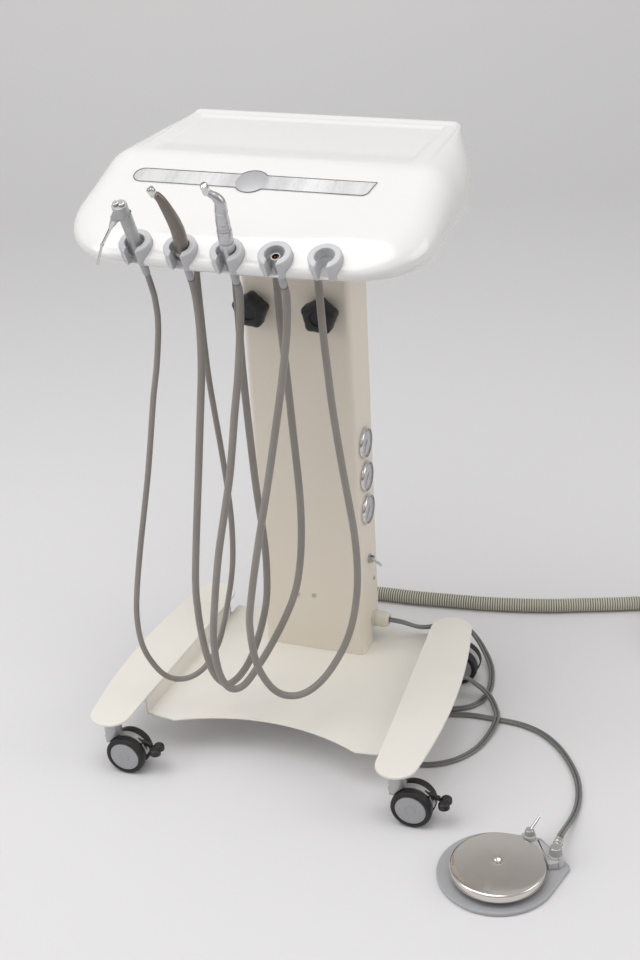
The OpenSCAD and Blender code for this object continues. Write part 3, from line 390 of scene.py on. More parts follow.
def tube_part(points, radii, n=24, matrix=None, slots_of=None):
    """A closed tube along the points in mm; matrix takes it to the frame."""
    f = carried_frames(points)
    m = len(points)
    verts = [points[i] + radii[i] * (f[i][0] * math.cos(2 * math.pi * j / n)
                                     + f[i][1] * math.sin(2 * math.pi * j / n))
             for i in range(m) for j in range(n)]
    faces, slots = [], []
    for i in range(m - 1):
        for j in range(n):
            k = (j + 1) % n
            faces.append((i * n + j, i * n + k, (i + 1) * n + k, (i + 1) * n + j))
            slots.append(slots_of(i) if slots_of else 0)
    faces.append(tuple(range(n - 1, -1, -1)))
    faces.append(tuple((m - 1) * n + j for j in range(n)))
    slots += [slots[0], slots[-1]]
    if matrix is not None:
        verts = [matrix @ v for v in verts]
    return verts, faces, slots


CART = place(0, 0, 0)


def softened(nodes, name, mats, width=0.6, segments=3, angle=32, zone=None, sharp=40):
    """A CAD part with its edges rounded by width mm, over the same faces. zone(x, y, z)
    gives a face's material from its centre in the cart's millimetres."""
    nodes = [nodes] if isinstance(nodes, str) else nodes
    bm = bmesh.new()
    for n in nodes:
        bm.from_mesh(NODES[n].data)
    bmesh.ops.remove_doubles(bm, verts=bm.verts, dist=2e-6)
    bmesh.ops.dissolve_limit(bm, angle_limit=math.radians(0.8), verts=bm.verts,
                             edges=bm.edges)
    edges = [e for e in bm.edges if len(e.link_faces) == 2
             and e.calc_face_angle(0) > math.radians(angle)]
    if edges and width:
        bmesh.ops.bevel(bm, geom=edges, offset=width / 1000, segments=segments,
                        profile=0.5, affect="EDGES", clamp_overlap=False)
    mesh = bpy.data.meshes.new(name)
    bm.to_mesh(mesh)
    bm.free()
    if zone:
        for p in mesh.polygons:
            c = p.center * 1000
            p.material_index = zone(c.x - OX, c.y - OY, c.z)
    obj = link(name, mesh, mats, NODES[nodes[0]]["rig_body"], sharp)
    mod = obj.modifiers.new("even_normals", "WEIGHTED_NORMAL")
    mod.keep_sharp = True
    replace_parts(obj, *nodes)
    return obj


def finish_node(node, mat):
    mesh = NODES[node].data
    mesh.materials.clear()
    mesh.materials.append(mat)


# ---- places shared with the part's source ----
LEAN = 25.0
PITCH = 66.7
HEAD_YF = -196.0
HEAD_BOW = 8.0
HOLDER_Z = 839.0
TAIL = -60.0
HOLDER_X = [1.5 + PITCH * i for i in range(-2, 3)]
OUTLET_X = [-79, -22, 38, 98]
OUTLET_Y = -112.0
HEAD_Z0 = 798.0
HEAD_Z1 = 905.0
APRON = 0.36


def holder_y(x):
    return HEAD_YF + 8 + HEAD_BOW * (x / 159) ** 2


def in_holder(i):
    return place(HOLDER_X[i], holder_y(HOLDER_X[i]), HOLDER_Z, turn("X", LEAN))


def out_of(i, x, y, z):
    """A point of holder i's own frame, in the cart's millimetres."""
    c, s = math.cos(math.radians(LEAN)), math.sin(math.radians(LEAN))
    return Vector((HOLDER_X[i] + x, holder_y(HOLDER_X[i]) + y * c - z * s,
                   HOLDER_Z + y * s + z * c))


# ---- cords and hoses ----
HOSE_ROUTES = [
    [(-130, -147, 752), (-128, -146, 722), (-128.5, -150, 690), (-132, -158, 645),
     (-138, -166, 600), (-152, -178, 490), (-168, -192, 384), (-179, -202, 302),
     (-183, -205, 250), (-180, -203, 204), (-170, -195, 168), (-154, -184, 140),
     (-132, -167, 129), (-108, -148, 141), (-87, -131, 182), (-72, -120, 249),
     (-62, -112, 317), (-60, -109, 400), (-66, -110, 503), (-75, -112, 616),
     (-78, -112, 708)],
    [(-65, -151, 752), (-64.3, -149.5, 722), (-63.5, -152, 690), (-64, -157, 648),
     (-67, -163, 600), (-77, -172, 485), (-90, -182, 341), (-92, -184, 279),
     (-89, -182, 215), (-80, -176, 156), (-63, -163, 129), (-42, -147, 148),
     (-26, -135, 185), (-12, -125, 238), (-6, -120, 283), (-5, -118, 345),
     (-8, -118, 397), (-13, -116, 450), (-18, -114, 540), (-22, -112, 638),
     (-22, -112, 710)],
    [(-0.3, -152.5, 752), (-3, -151, 722), (-5.3, -154, 690), (-8, -162, 645),
     (-13.5, -171, 592), (-24, -182, 498), (-43, -196, 387), (-54, -204, 299),
     (-59, -208, 238), (-56, -206, 181), (-45, -198, 149), (-28, -186, 148),
     (-10, -172, 173), (13, -156, 215), (35, -140, 265), (48, -130, 311),
     (55, -124, 375), (56, -121, 450), (50, -117, 548), (44, -113, 640),
     (39, -112, 720)],
    [(66.3, -151, 752), (63.6, -149.5, 722), (60.6, -153, 690), (56.5, -163, 645),
     (50.5, -174, 595), (39, -190, 511), (21, -206, 403), (9, -217, 319),
     (6, -220, 274), (11, -216, 213), (27, -203, 165), (46, -186, 144),
     (67, -167, 142), (89, -148, 160), (111, -129, 198), (126, -118, 245),
     (134, -111, 310), (132, -109, 389), (121, -111, 482), (109, -112, 590),
     (101, -112, 700)]]
HOSE_D = [8.6, 10.8, 10.8, 10.8]
TWIN_D = 5.0
CONDUIT_D = 24.0


def curve_object(name, points, diameter, mat, body):
    """A round cord as one open spline, with points in the cart's millimetres."""
    data = bpy.data.curves.new(name, "CURVE")
    data.dimensions = "3D"
    data.bevel_depth = diameter / 2000
    data.bevel_resolution = 6
    data.use_fill_caps = True
    spline = data.splines.new("POLY")
    spline.points.add(len(points) - 1)
    for p, q in zip(spline.points, points):
        p.co = (*at(*q), 1)
    spline.use_smooth = True
    data.materials.append(mat)
    obj = bpy.data.objects.new(name, data)
    bpy.context.scene.collection.objects.link(obj)
    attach(obj, body)
    return obj


def hose_line(i, steps):
    start = [out_of(i, 0, 0, TAIL), out_of(i, 0, 0, TAIL - 12)]
    end = [Vector((OUTLET_X[i], OUTLET_Y, HEAD_Z0 - 30)),
           Vector((OUTLET_X[i], OUTLET_Y, HEAD_Z0 - 12))]
    return start + smooth_line(HOSE_ROUTES[i], steps) + end


def make_hoses():
    for i in range(4):
        line = smooth_line(hose_line(i, 2), 4)
        obj = curve_object("instrument_hose_%d" % (i + 1), line, HOSE_D[i], HOSE, "head")
        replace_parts(obj, "hose_%d" % (i + 1))


FOOT_ROUTE = [
    (84, 105, 107.5), (109, 105, 107.5), (132, 107, 105), (152, 120, 92), (168, 142, 81),
    (186, 170, 74), (206, 194, 60), (228, 199, 36), (248, 187, 15), (263, 164, 6),
    (272, 136, 3), (277, 104, 3), (274, 74, 3), (260, 50, 3), (236, 36, 3), (205, 24, 3),
    (178, 18, 5), (156, 24, 13), (148, 38, 24), (158, 53, 35), (182, 60, 42),
    (213, 60, 44), (241, 70, 44),
    (261, 79, 26), (281, 75, 14), (300, 48, 9), (310, 18, 9.5), (306, -22, 5),
    (295, -58, 3), (275, -88, 3), (252, -106, 3), (224, -116, 3), (190, -112, 3),
    (166, -90, 3), (158, -55, 3), (170, -18, 3), (196, 8, 3), (232, 20, 3), (268, 27, 3),
    (306, 27, 3), (345, 25, 3), (380, 13, 3), (410, -10, 3), (436, -42, 3),
    (459, -84, 3), (471, -128, 3), (473, -168, 5), (471, -205, 14), (470, -235, 25),
    (470, -252, 30), (470, -262.8, 30)]


def make_twin_hose():
    """Two tubes side by side, from the gland to the foot control."""
    pts = [(x, y, TWIN_D / 2 + 0.4 if z < 5 else z) for x, y, z in FOOT_ROUTE]
    line = smooth_line(pts, 2)
    for s, letter in ((-1, "a"), (1, "b")):
        side = []
        for i, p in enumerate(line):
            t = tangent(line, i)
            side.append(p + s * (TWIN_D / 2 + 0.12) * Vector((t.y, -t.x, 0)).normalized())
        side = smooth_line(side, 3)
        obj = curve_object("foot_control_tube_" + letter, side, TWIN_D, TWIN, "base")
        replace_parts(obj, "foot_hose_" + letter)


CONDUIT_Z = CONDUIT_D / 2 + 0.2
CONDUIT_ROUTE = [
    (-72, 131, 130), (-72, 144, 130), (-72, 170, 127), (-74, 200, 106), (-72, 232, 70),
    (-60, 268, 34), (-36, 300, CONDUIT_Z + 3), (-4, 318, CONDUIT_Z),
    (30, 323, CONDUIT_Z), (57, 324, CONDUIT_Z), (92, 326, CONDUIT_Z),
    (128, 330, CONDUIT_Z), (164, 334, CONDUIT_Z), (199, 338, CONDUIT_Z),
    (242, 345, CONDUIT_Z), (286, 354, CONDUIT_Z), (328, 365, CONDUIT_Z),
    (368, 378, CONDUIT_Z), (418, 394, CONDUIT_Z), (466, 411, CONDUIT_Z),
    (520, 430, CONDUIT_Z), (606, 461, CONDUIT_Z)]
COIL_R = 132.0
COIL_TURNS = 1.35
RIB_PITCH = 4.2
RIB_DEPTH = 1.1


def conduit_line():
    run = smooth_line(CONDUIT_ROUTE, 10)
    end = run[-1]
    d = (run[-1] - run[-2]).normalized()
    centre = end + d * 20 + COIL_R * Vector((d.y, -d.x, 0))
    a0 = math.atan2(d.x, -d.y)
    coil = []
    steps = 96
    for i in range(steps + 1):
        u = COIL_TURNS * i / steps
        a = a0 - u * 2 * math.pi
        r = COIL_R + 16 * max(0, u - 0.3)
        lift = 1.5 * min(1, 10 * u) + (CONDUIT_D + 0.8) * max(0, min(1, (u - 0.45) / 0.5))
        coil.append(centre + Vector((r * math.cos(a), r * math.sin(a), lift)))
    last = (coil[-1] - coil[-2]).normalized()
    return run + coil + [coil[-1] + last * 12], last


def resampled(points, step):
    """Points every step mm along the line."""
    out, want, run = [points[0]], step, 0.0
    for a, b in zip(points, points[1:]):
        seg = (b - a).length
        while want <= run + seg:
            out.append(a.lerp(b, (want - run) / seg))
            want += step
        run += seg
    return out


def make_conduit():
    """Corrugated hose: narrow ridges with grooves between them, the grooves painted dark as shade.
    """
    line, last = conduit_line()
    even = resampled(line, 0.6)
    marks = ((0.0, 0.0), (0.42, 0.0), (0.55, RIB_DEPTH), (0.88, RIB_DEPTH))
    per = RIB_PITCH / 0.6
    pts, radii, slots = [], [], []
    k = 0
    while (k + 1) * per < len(even) - 1:
        for m, drop in marks:
            pts.append(even[int(round((k + m) * per))])
            radii.append(CONDUIT_D / 2 - drop)
        k += 1
    pts.append(even[-1])
    radii.append(CONDUIT_D / 2)
    # slot 1 on the groove faces gives them the painted shade
    v, f, s = tube_part(pts, radii, 20, CART, lambda i: 1 if i % 4 in (1, 2) else 0)
    obj = build("supply_hose", v, f, [RIDGE, GROOVE_PAINTED_SHADE], "base", s, 50)
    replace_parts(obj, "conduit_hose", "conduit_coil")
    path = [at(*p) for p in resampled(line, 6)] + [at(*line[-1])]
    return obj, path, last, line


conduit, conduit_path, conduit_last, conduit_pts = make_conduit()
make_hoses()
make_twin_hose()


def make_plug():
    """Three-step connector at the hose's end."""
    end = conduit_pts[-1]
    rot = turn("Z", math.degrees(math.atan2(conduit_last.y, conduit_last.x))) @ turn("Y", 90)
    rings = [(0, 0), (13.6, 0), (15, 1.4)]
    for k in range(8):
        z = 3 + k * 2.8
        rings += [(15, z), (14.2, z + 0.5), (14.2, z + 1.2), (15, z + 1.7)]
    rings += [(15, 25.4), (14.2, 26.2), (12.6, 26.4), (12.5, 40.8), (11.4, 42),
              (6, 42.2), (6, 55.2), (5.2, 56), (3, 56), (3, 48), (0, 48)]
    obj = lathe("supply_connector", place(*end, rot), rings, [PLUG], "base", 40)
    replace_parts(obj, "conduit_plug")
    return obj


plug = make_plug()
tie = softened("conduit_tie", "coil_tie", [BLACK_PLASTIC], 0.3)


# ---- base, legs and column ----
softened("base_plate", "base_sheet", [IVORY], 1.1)
for side in ("left", "right"):
    softened("leg_" + side, "leg_panel_" + side, [IVORY], 1.4, 4)
# the column and its back cover carry the warmer ivory with painted shade
softened("column_shell", "column", [COLUMN_TONE_AND_SHADE], 0.8)
softened("column_back_cover", "back_cover", [COLUMN_TONE_AND_SHADE], 0.6)
softened("valve_block", "valve_manifold", [ALLOY], 0.8)
softened("mast", "head_mast", [BRUSHED], 0.8)
softened("caster_stems", "swivel_stems", [STEEL], 0.4)
softened("hose_gland", "cable_gland", [GLAND], 0.7)
softened("toggle_body", "toggle_bushing", [STEEL], 0.35)
finish_node("toggle_lever", CHROME)
softened("screws", "small_screws", [STEEL], 0.4)

KNOB_X = (-66.5, 41.5)
COL_Y0 = 52.4
COL_X1 = 82.2
KNOB_Z = 662.0


def lobe_radius(angle, inset):
    """Outline of the five shallow lobes."""
    best = 23.5 - inset
    for k in range(5):
        d = angle - math.radians(72 * k + 85)
        c, s = 20 * math.cos(d), 20 * math.sin(d)
        r = 8 - inset
        if abs(s) < r and c > 0:
            best = max(best, c + math.sqrt(r * r - s * s))
    return best


def knob(i, name):
    m = place(KNOB_X[i], COL_Y0 - 0.3, KNOB_Z, turn("X", 90))
    n = 144
    verts, faces = [], []
    levels = [(8.0, 2.4), (8.6, 0.8), (10, 0), (24, 0), (26, 0.7), (27.6, 2.4),
              (28.7, 5.2), (29, 9)]
    rings = []
    for z, inset in levels:
        raw = [lobe_radius(2 * math.pi * j / n, inset) for j in range(n)]
        for _ in range(10):
            raw = [(raw[j - 1] + 2 * raw[j] + raw[(j + 1) % n]) / 4 for j in range(n)]
        rings.append([(r * math.cos(2 * math.pi * j / n), r * math.sin(2 * math.pi * j / n), z)
                      for j, r in enumerate(raw)])
    for r, z in ((12.4, 29), (11.8, 28.2), (11.6, 27), (0.01, 27)):
        rings.append([(r * math.cos(2 * math.pi * j / n), r * math.sin(2 * math.pi * j / n), z)
                      for j in range(n)])
    for r, z in ((12, 8), (12, 1), (11, 0), (4, 0), (4, -21), (0.01, -21)):
        rings.insert(0, [(r * math.cos(2 * math.pi * j / n), r * math.sin(2 * math.pi * j / n), z)
                         for j in range(n)])
    for ring in rings:
        verts += [m @ Vector(p) for p in ring]
    for k in range(len(rings) - 1):
        for j in range(n):
            q = (j + 1) % n
            faces.append((k * n + j, k * n + q, (k + 1) * n + q, (k + 1) * n + j))
    obj = build(name, verts, faces, [BLACK], "clamp_" + name, sharp=50)
    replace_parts(obj, "clamp_" + name)


knob(0, "knob_left")
knob(1, "knob_right")

# ---- gauges ----
GAUGE_Y = 90.7
GAUGE_Z = (434, 376, 318)
DIAL_STEPS = 50
RED_FROM = 40


def dial_frame(z, lift=0.0):
    return place(COL_X1 + lift, GAUGE_Y, z, turn("Y", 90))


def make_gauges():
    cases, ticks, reds = [], [], []
    for z in GAUGE_Z:
        m = dial_frame(z)
        cases.append(lathe_part(m, [
            (0, -22), (19, -22), (20, -21), (20, 0), (24.4, 0), (25, 0.6), (25, 2.2),
            (24.7, 3.6), (24.0, 4.9), (23.0, 5.8), (22.3, 6), (21.9, 5.7), (21.9, 2),
            (1.2, 2), (0.9, 1.7), (0.9, 0.5), (0, 0.5)], 72,
            lambda k: 1 if k in (10, 11, 12) else 0))
        top = dial_frame(z, 2.62)
        ticks.append(lathe_part(top, [(19.7, 0), (19.7, 0.08), (21.6, 0.08), (21.6, 0)], 72))
        for k in range(DIAL_STEPS + 1):
            a = math.radians(-45 - 270 * k / DIAL_STEPS)
            long = k % 5 == 0
            r0, r1, w = (15.6 if long else 17.4), 19.4, (0.36 if long else 0.16)
            c, s = math.cos(a), math.sin(a)
            v = [top @ Vector((r * c - q * s, r * s + q * c, h))
                 for h in (0, 0.08) for r, q in ((r0, -w), (r1, -w), (r1, w), (r0, w))]
            f = [(3, 2, 1, 0), (4, 5, 6, 7), (0, 1, 5, 4), (1, 2, 6, 5), (2, 3, 7, 6),
                 (3, 0, 4, 7)]
            red = k > RED_FROM and not long
            (reds if red else ticks).append((v, f, [0] * 6))
        number_marks(top)
    v, f, s = join_parts(cases)
    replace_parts(build("gauge_bezels", v, f, [CHROME, INK], "base", s, 50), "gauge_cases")
    v, f, s = join_parts(ticks)
    build("dial_marks", v, f, [INK], "base", s)
    v, f, s = join_parts(reds)
    build("dial_red_marks", v, f, [INK_RED], "base", s)


def number_marks(top):
    """Plain numbers 0 to 10 round the dial."""
    for value in (0, 2, 4, 6, 8, 10):
        a = math.radians(-45 - 27 * value)
        data = bpy.data.curves.new("number_%d" % value, "FONT")
        data.body = str(value)
        data.size = 4.2
        data.align_x = "CENTER"
        data.align_y = "CENTER"
        data.extrude = 0.04
        data.materials.append(INK)
        obj = bpy.data.objects.new("dial_number_%d" % value, data)
        bpy.context.scene.collection.objects.link(obj)
        # on the column's right side a reader's right is +Y and up is +Z
        obj.matrix_world = (top @ Matrix.Translation((12.6 * math.cos(a), 12.6 * math.sin(a), 0.03))
                            @ turn("Z", 90))
        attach(obj, "base")


make_gauges()
finish_node("gauge_dials", DIAL)
finish_node("gauge_glasses", GLASS)
for n in (1, 2, 3):
    finish_node("gauge_needle_%d" % n, INK)

# ---- head ----
HEAD_W = 261.0
HEAD_WB = 211.0
HEAD_YB = 218.0
HEAD_YM = 33.5
HEAD_RC = 101.5
RIM_A = 48.0
BACK_R = 12.0
BACK_K = 0.06
EDGE_DROP = 2.6
RING_R = 22.7


def side_x(y, w0, w1, y0):
    k = max(0.0, 1 - (y0 - y) / (y0 - HEAD_YM))
    return w0 + (w1 - w0) * (1 - k ** 1.8)


def head_outline(d, w=0.0):
    """The outline inset by the rim's d and a wall w, counted the same way for every d."""
    yb, wb, wf = HEAD_YB - w - BACK_K * d, HEAD_WB - w - BACK_K * d, HEAD_W - w - d
    ys, yc = yb - BACK_R, HEAD_YF + HEAD_BOW + HEAD_RC
    xc, r = HEAD_W - HEAD_RC, HEAD_RC - d - w
    half = [(0.0, yb)] + [((wb - BACK_R) * i / 12, yb) for i in range(1, 12)]
    for i in range(13):
        a = math.radians(i * 7.5)
        half.append((wb - BACK_R + BACK_R * math.sin(a), ys + BACK_R * math.cos(a)))
    for i in range(1, 19):
        y = ys + (HEAD_YM - ys) * i / 18
        half.append((side_x(y, wb, wf, ys), y))
    for i in range(1, 10):
        half.append((wf, HEAD_YM + (yc - HEAD_YM) * i / 10))
    for i in range(31):
        a = math.radians(i * 3)
        half.append((xc + r * math.cos(a), yc - r * math.sin(a)))
    for i in range(1, 13):
        x = xc * (1 - i / 12)
        half.append((x, HEAD_YF + d + w + HEAD_BOW * (x / xc) ** 2))
    return half + [(-x, y) for x, y in half[-2:0:-1]]


CREASE = 5.0


def bend(y):
    """Height of the apron, with a slightly rounded crease at y = 0."""
    if y > CREASE:
        return 0.0
    if y < -CREASE:
        return APRON * y
    return -APRON * (CREASE - y) ** 2 / (4 * CREASE)


def step(v, a, b):
    t = min(1.0, max(0.0, (v - a) / (b - a)))
    return t * t * (3 - 2 * t)


TRAY_FRONT = 195.0
TRAY_BACK = 193.0


def tray_depth(x, y):
    half = TRAY_FRONT + (TRAY_BACK - TRAY_FRONT) * min(1, max(0, y / 192))
    return 3.0 * step(half - abs(x), 0, 10) * step(y, 2, 60) * step(192 - y, 0, 10)


def back_lip(x, y):
    return 2.4 * step(y, 193, 206) * step(214.6 - y, 0, 6) * step(208 - abs(x), 0, 8)


def facet(x, y):
    """The shallow facets at the front corners, outside a line from the tray's corner."""
    if y > 4:
        return 0.0
    edge = 196 + 0.22 * y
    return 0.035 * max(0.0, abs(x) - edge) * step(-y, 0, 30)


def edge_drop(y, inside):
    """How far the top is rounded down at the back and sides, inside mm from the rim."""
    return EDGE_DROP * step(y, 0, 90) * (1 - min(1.0, inside / 8)) ** 2


def top_height(x, y):
    return HEAD_Z1 + bend(y) - tray_depth(x, y) + back_lip(x, y) - facet(x, y)


def head_mesh():
    verts, faces = [], []
    rings = []

    def put(points):
        rings.append(list(range(len(verts), len(verts) + len(points))))
        verts.extend(points)

    inner = head_outline(RIM_A)
    under = head_outline(60, 4)
    put([Vector((x, y, HEAD_Z0 + 7)) for x, y in under])
    put([Vector((x, y, HEAD_Z0)) for x, y in under])
    steps = 32
    for k in range(steps + 1):
        ph = math.radians(-90 + 180 * k / steps)
        o = head_outline(RIM_A * (1 - math.cos(ph)))
        ring = []
        for (x, y), (xi, yi) in zip(o, inner):
            t = HEAD_Z1 + bend(y)
            up = max(0.0, math.sin(ph))
            t -= facet(xi, yi) * up
            t -= edge_drop(yi, 0) * up
            ring.append(Vector((x, y, (t + HEAD_Z0) / 2 + (t - HEAD_Z0) / 2 * math.sin(ph))))
        put(ring)
    cx, cy = 0.0, 20.0
    inward = 60
    for k in range(1, inward):
        s = 1 - k / inward
        t = 1 - (1 - s) ** 1.5
        put([Vector((cx + (x - cx) * t, cy + (y - cy) * t,
                     top_height(cx + (x - cx) * t, cy + (y - cy) * t)
                     - edge_drop(y, (1 - t) * math.hypot(x - cx, y - cy))))
             for x, y in inner])
    n = len(inner)
    for a, b in zip(rings, rings[1:]):
        for j in range(n):
            k = (j + 1) % n
            faces.append((a[j], b[j], b[k], a[k]))
    verts.append(Vector((cx, cy, top_height(cx, cy))))
    for j in range(n):
        faces.append((rings[-1][j], len(verts) - 1, rings[-1][(j + 1) % n]))
    verts.append(Vector((0, 40, HEAD_Z0 + 7)))
    for j in range(n):
        faces.append((rings[0][(j + 1) % n], len(verts) - 1, rings[0][j]))
    mesh = bpy.data.meshes.new("head_form")
    mesh.from_pydata([tuple(CART @ v) for v in verts], [], faces)
    mesh.update()
    return mesh


def make_head():
    """The moulded head, with a pocket for each holder cut out of it."""
    base = bpy.data.objects.new("head_form", head_mesh())
    bpy.context.scene.collection.objects.link(base)
    cutters = []
    for i in range(5):
        v, f, s = lathe_part(in_holder(i), [(0, -60), (13.2, -60), (13.2, -24.2),
                                            (RING_R + 0.25, -24.2),
                                            (RING_R + 0.25, 30), (0, 30)], 96)
        mesh = bpy.data.meshes.new("pocket")
        mesh.from_pydata([tuple(p) for p in v], [], f)
        cut = bpy.data.objects.new("pocket_%d" % i, mesh)
        bpy.context.scene.collection.objects.link(cut)
        cutters.append(cut)
        mod = base.modifiers.new("pocket", "BOOLEAN")
        mod.operation = "DIFFERENCE"
        mod.solver = "EXACT"
        mod.object = cut
    dg = bpy.context.evaluated_depsgraph_get()
    mesh = bpy.data.meshes.new_from_object(base.evaluated_get(dg))
    for o in [base, *cutters]:
        bpy.data.objects.remove(o)
    obj = link("head_moulding", mesh, [WHITE], "head", 30)
    mod = obj.modifiers.new("even_normals", "WEIGHTED_NORMAL")
    mod.keep_sharp = True
    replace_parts(obj, "head_shell")


make_head()
softened("head_pan", "underside_pan", [PAN], 0.5)
softened("hose_outlets", "outlet_collars", [OUTLET], 0.7)
softened("holders", "instrument_holders", [HOLDER], 1.3, 4, sharp=45)

# ---- bare label plate ----
LABEL_Y = -51.0
DISC_X = -14.3


def make_label():
    softened("label_plate", "name_plate_bare", [LABEL], 0.25, 2)
    m = place(0, LABEL_Y, HEAD_Z1 + APRON * LABEL_Y, turn("X", math.degrees(math.atan(APRON))))

    def arc(x, y, r, a0, a1, n):
        return [(x + r * math.cos(math.radians(a0 + (a1 - a0) * k / n)),
                 y + r * math.sin(math.radians(a0 + (a1 - a0) * k / n))) for k in range(n + 1)]

    lathe("plate_disc", m @ Matrix.Translation((DISC_X, 0, 0)), [
        (0, 0.9), (22.5, 0.9), (22.7, 1.0), (22.7, 1.1), (22.4, 1.2), (0, 1.24)],
        [LABEL_DISC], "head", 96)
    outline = arc(-175, 0, 14.3, 270, 90, 24)
    outline += arc(DISC_X, 0, 23.4, 142.3, 37.7, 24)
    outline += [(160.2, 14.3)]
    outline += arc(145, -4, 10.3, -14, -90, 12)
    outline += arc(DISC_X, 0, 23.4, -37.7, -142.3, 24)
    inset = []
    for k, (x, y) in enumerate(outline):
        inset.append(m @ Vector((x, y, 1.02)))
    data = bpy.data.curves.new("plate_line", "CURVE")
    data.dimensions = "3D"
    data.bevel_depth = 0.0007
    data.bevel_resolution = 2
    spline = data.splines.new("POLY")
    spline.points.add(len(inset) - 1)
    for p, q in zip(spline.points, inset):
        p.co = (*q, 1)
    spline.use_cyclic_u = True
    data.materials.append(LINE)
    obj = bpy.data.objects.new("plate_outline", data)
    bpy.context.scene.collection.objects.link(obj)
    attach(obj, "head")


make_label()

# ---- instruments ----
STEM = [(0, TAIL), (4.1, TAIL), (4.6, TAIL + 0.6), (5.2, TAIL + 4), (5.4, -26),
        (6.6, -20.8)]
STEM_HEAD = [(9.2, -16.6)]


SLEEVE_DROP = 15


def syringe_zone(x, y, z):
    """The sleeve at the syringe's lower end."""
    return 1 if z < HOLDER_Z - SLEEVE_DROP else 0


softened("syringe_body", "syringe", [GREY_ANO, SLEEVE], 0.9, 3, 30, syringe_zone)
NOZZLE_DOWN = 58.5


def make_nozzle():
    m = place(*out_of(0, -3, 0, 61), turn("Y", -90 - NOZZLE_DOWN))
    line = smooth_line([(0, 0, 18), (0, 0, 34), (0, 0, 50), (0, 0, 62), (-1.2, 0, 69),
                        (-3.4, 0, 79), (-6, 0, 92)], 6)
    radii = [2.0 if i < 18 else 1.6 for i in range(len(line))]
    radii[-1] = 1.2
    parts = [lathe_part(m, [(0, 13.8), (3, 13.8), (3, 18.8), (4.8, 18.8), (5.2, 19.2),
                            (5.0, 21), (4.2, 26), (3.0, 30.5), (2.7, 33.2), (2.3, 33.8),
                            (0, 33.8)], 40),
             tube_part(line, radii, 20, m),
             lathe_part(m, [(0, 60), (2.4, 60.2), (2.4, 62.6), (0, 62.8)], 24)]
    v, f, s = join_parts(parts)
    obj = build("water_air_nozzle", v, f, [CHROME], "syringe_nozzle", s, 50)
    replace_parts(obj, "syringe_nozzle")


make_nozzle()
for k, which in ((-1, "air"), (1, "water")):
    obj = lathe("button_" + which, in_holder(0) @ Matrix.Translation((-3 + k * 4.2, 0, 0)), [
        (0, 63.2), (3.22, 63.2), (3.22, 69.1), (3.6, 69.1), (3.9, 69.4), (3.9, 70.3),
        (3.5, 70.8), (2.9, 70.9), (2.6, 70.6), (0, 70.5)], [CHROME],
        "syringe_button_" + which, 36)
    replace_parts(obj, "syringe_button_" + which)


def make_turbine():
    """Curved grip on a coupling ring, with a small bright head."""
    m = in_holder(1)
    route = [(0, 0, -17), (1.2, 0, -6), (3.6, 0, 8), (5.2, 0, 25), (4.6, 0, 42),
             (2.2, 0, 58), (-0.9, 0, 73), (-3.8, 0, 84), (-8, 0, 92)]
    radii = [9.2, 9.5, 9.6, 9.4, 8.9, 8.1, 7.1, 6, 5]
    line = smooth_line(route, 6)
    fine = [v.x for v in smooth_line([(r, 0, 0) for r in radii], 6)]
    head = m @ Matrix.Translation((-12, 0, 96)) @ turn("Y", -20)
    parts = [lathe_part(m, STEM + STEM_HEAD + [(0, -16.2)], 40, lambda k: 2),
             tube_part(line, fine, 36, m, lambda i: 2 if i in (5, 6) else 0),
             lathe_part(m, [(9.1, -9.5), (9.62, -9.2), (9.62, -7.6), (9.1, -7.3)], 48,
                        lambda k: 3),
             lathe_part(head, [(0, -7), (4.4, -7), (5.2, -6.4), (5.4, -5.6), (5.4, -4.8),
                               (5.1, -4.5), (5.1, -4.1), (5.4, -3.8), (5.4, 4.6), (5.2, 5.4),
                               (4.7, 6), (3.95, 6), (3.95, 4.6), (0, 4.6)], 40,
                        lambda k: 1)]
    v, f, s = join_parts(parts)
    obj = build("turbine", v, f, [TAUPE, CHROME, SLEEVE, COUPLER], "head", s, 45)
    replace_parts(obj, "turbine_handpiece")
    cap = lathe("chuck_button", head, [(0, 5.3), (3.7, 5.3), (3.8, 5.5), (3.8, 6.4),
                                       (3.4, 6.8), (2.6, 6.8), (2.4, 6.6), (0, 6.5)],
                [CHROME], "turbine_button", 36)
    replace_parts(cap, "turbine_button")


make_turbine()
MOTOR_LEAN = 6.3


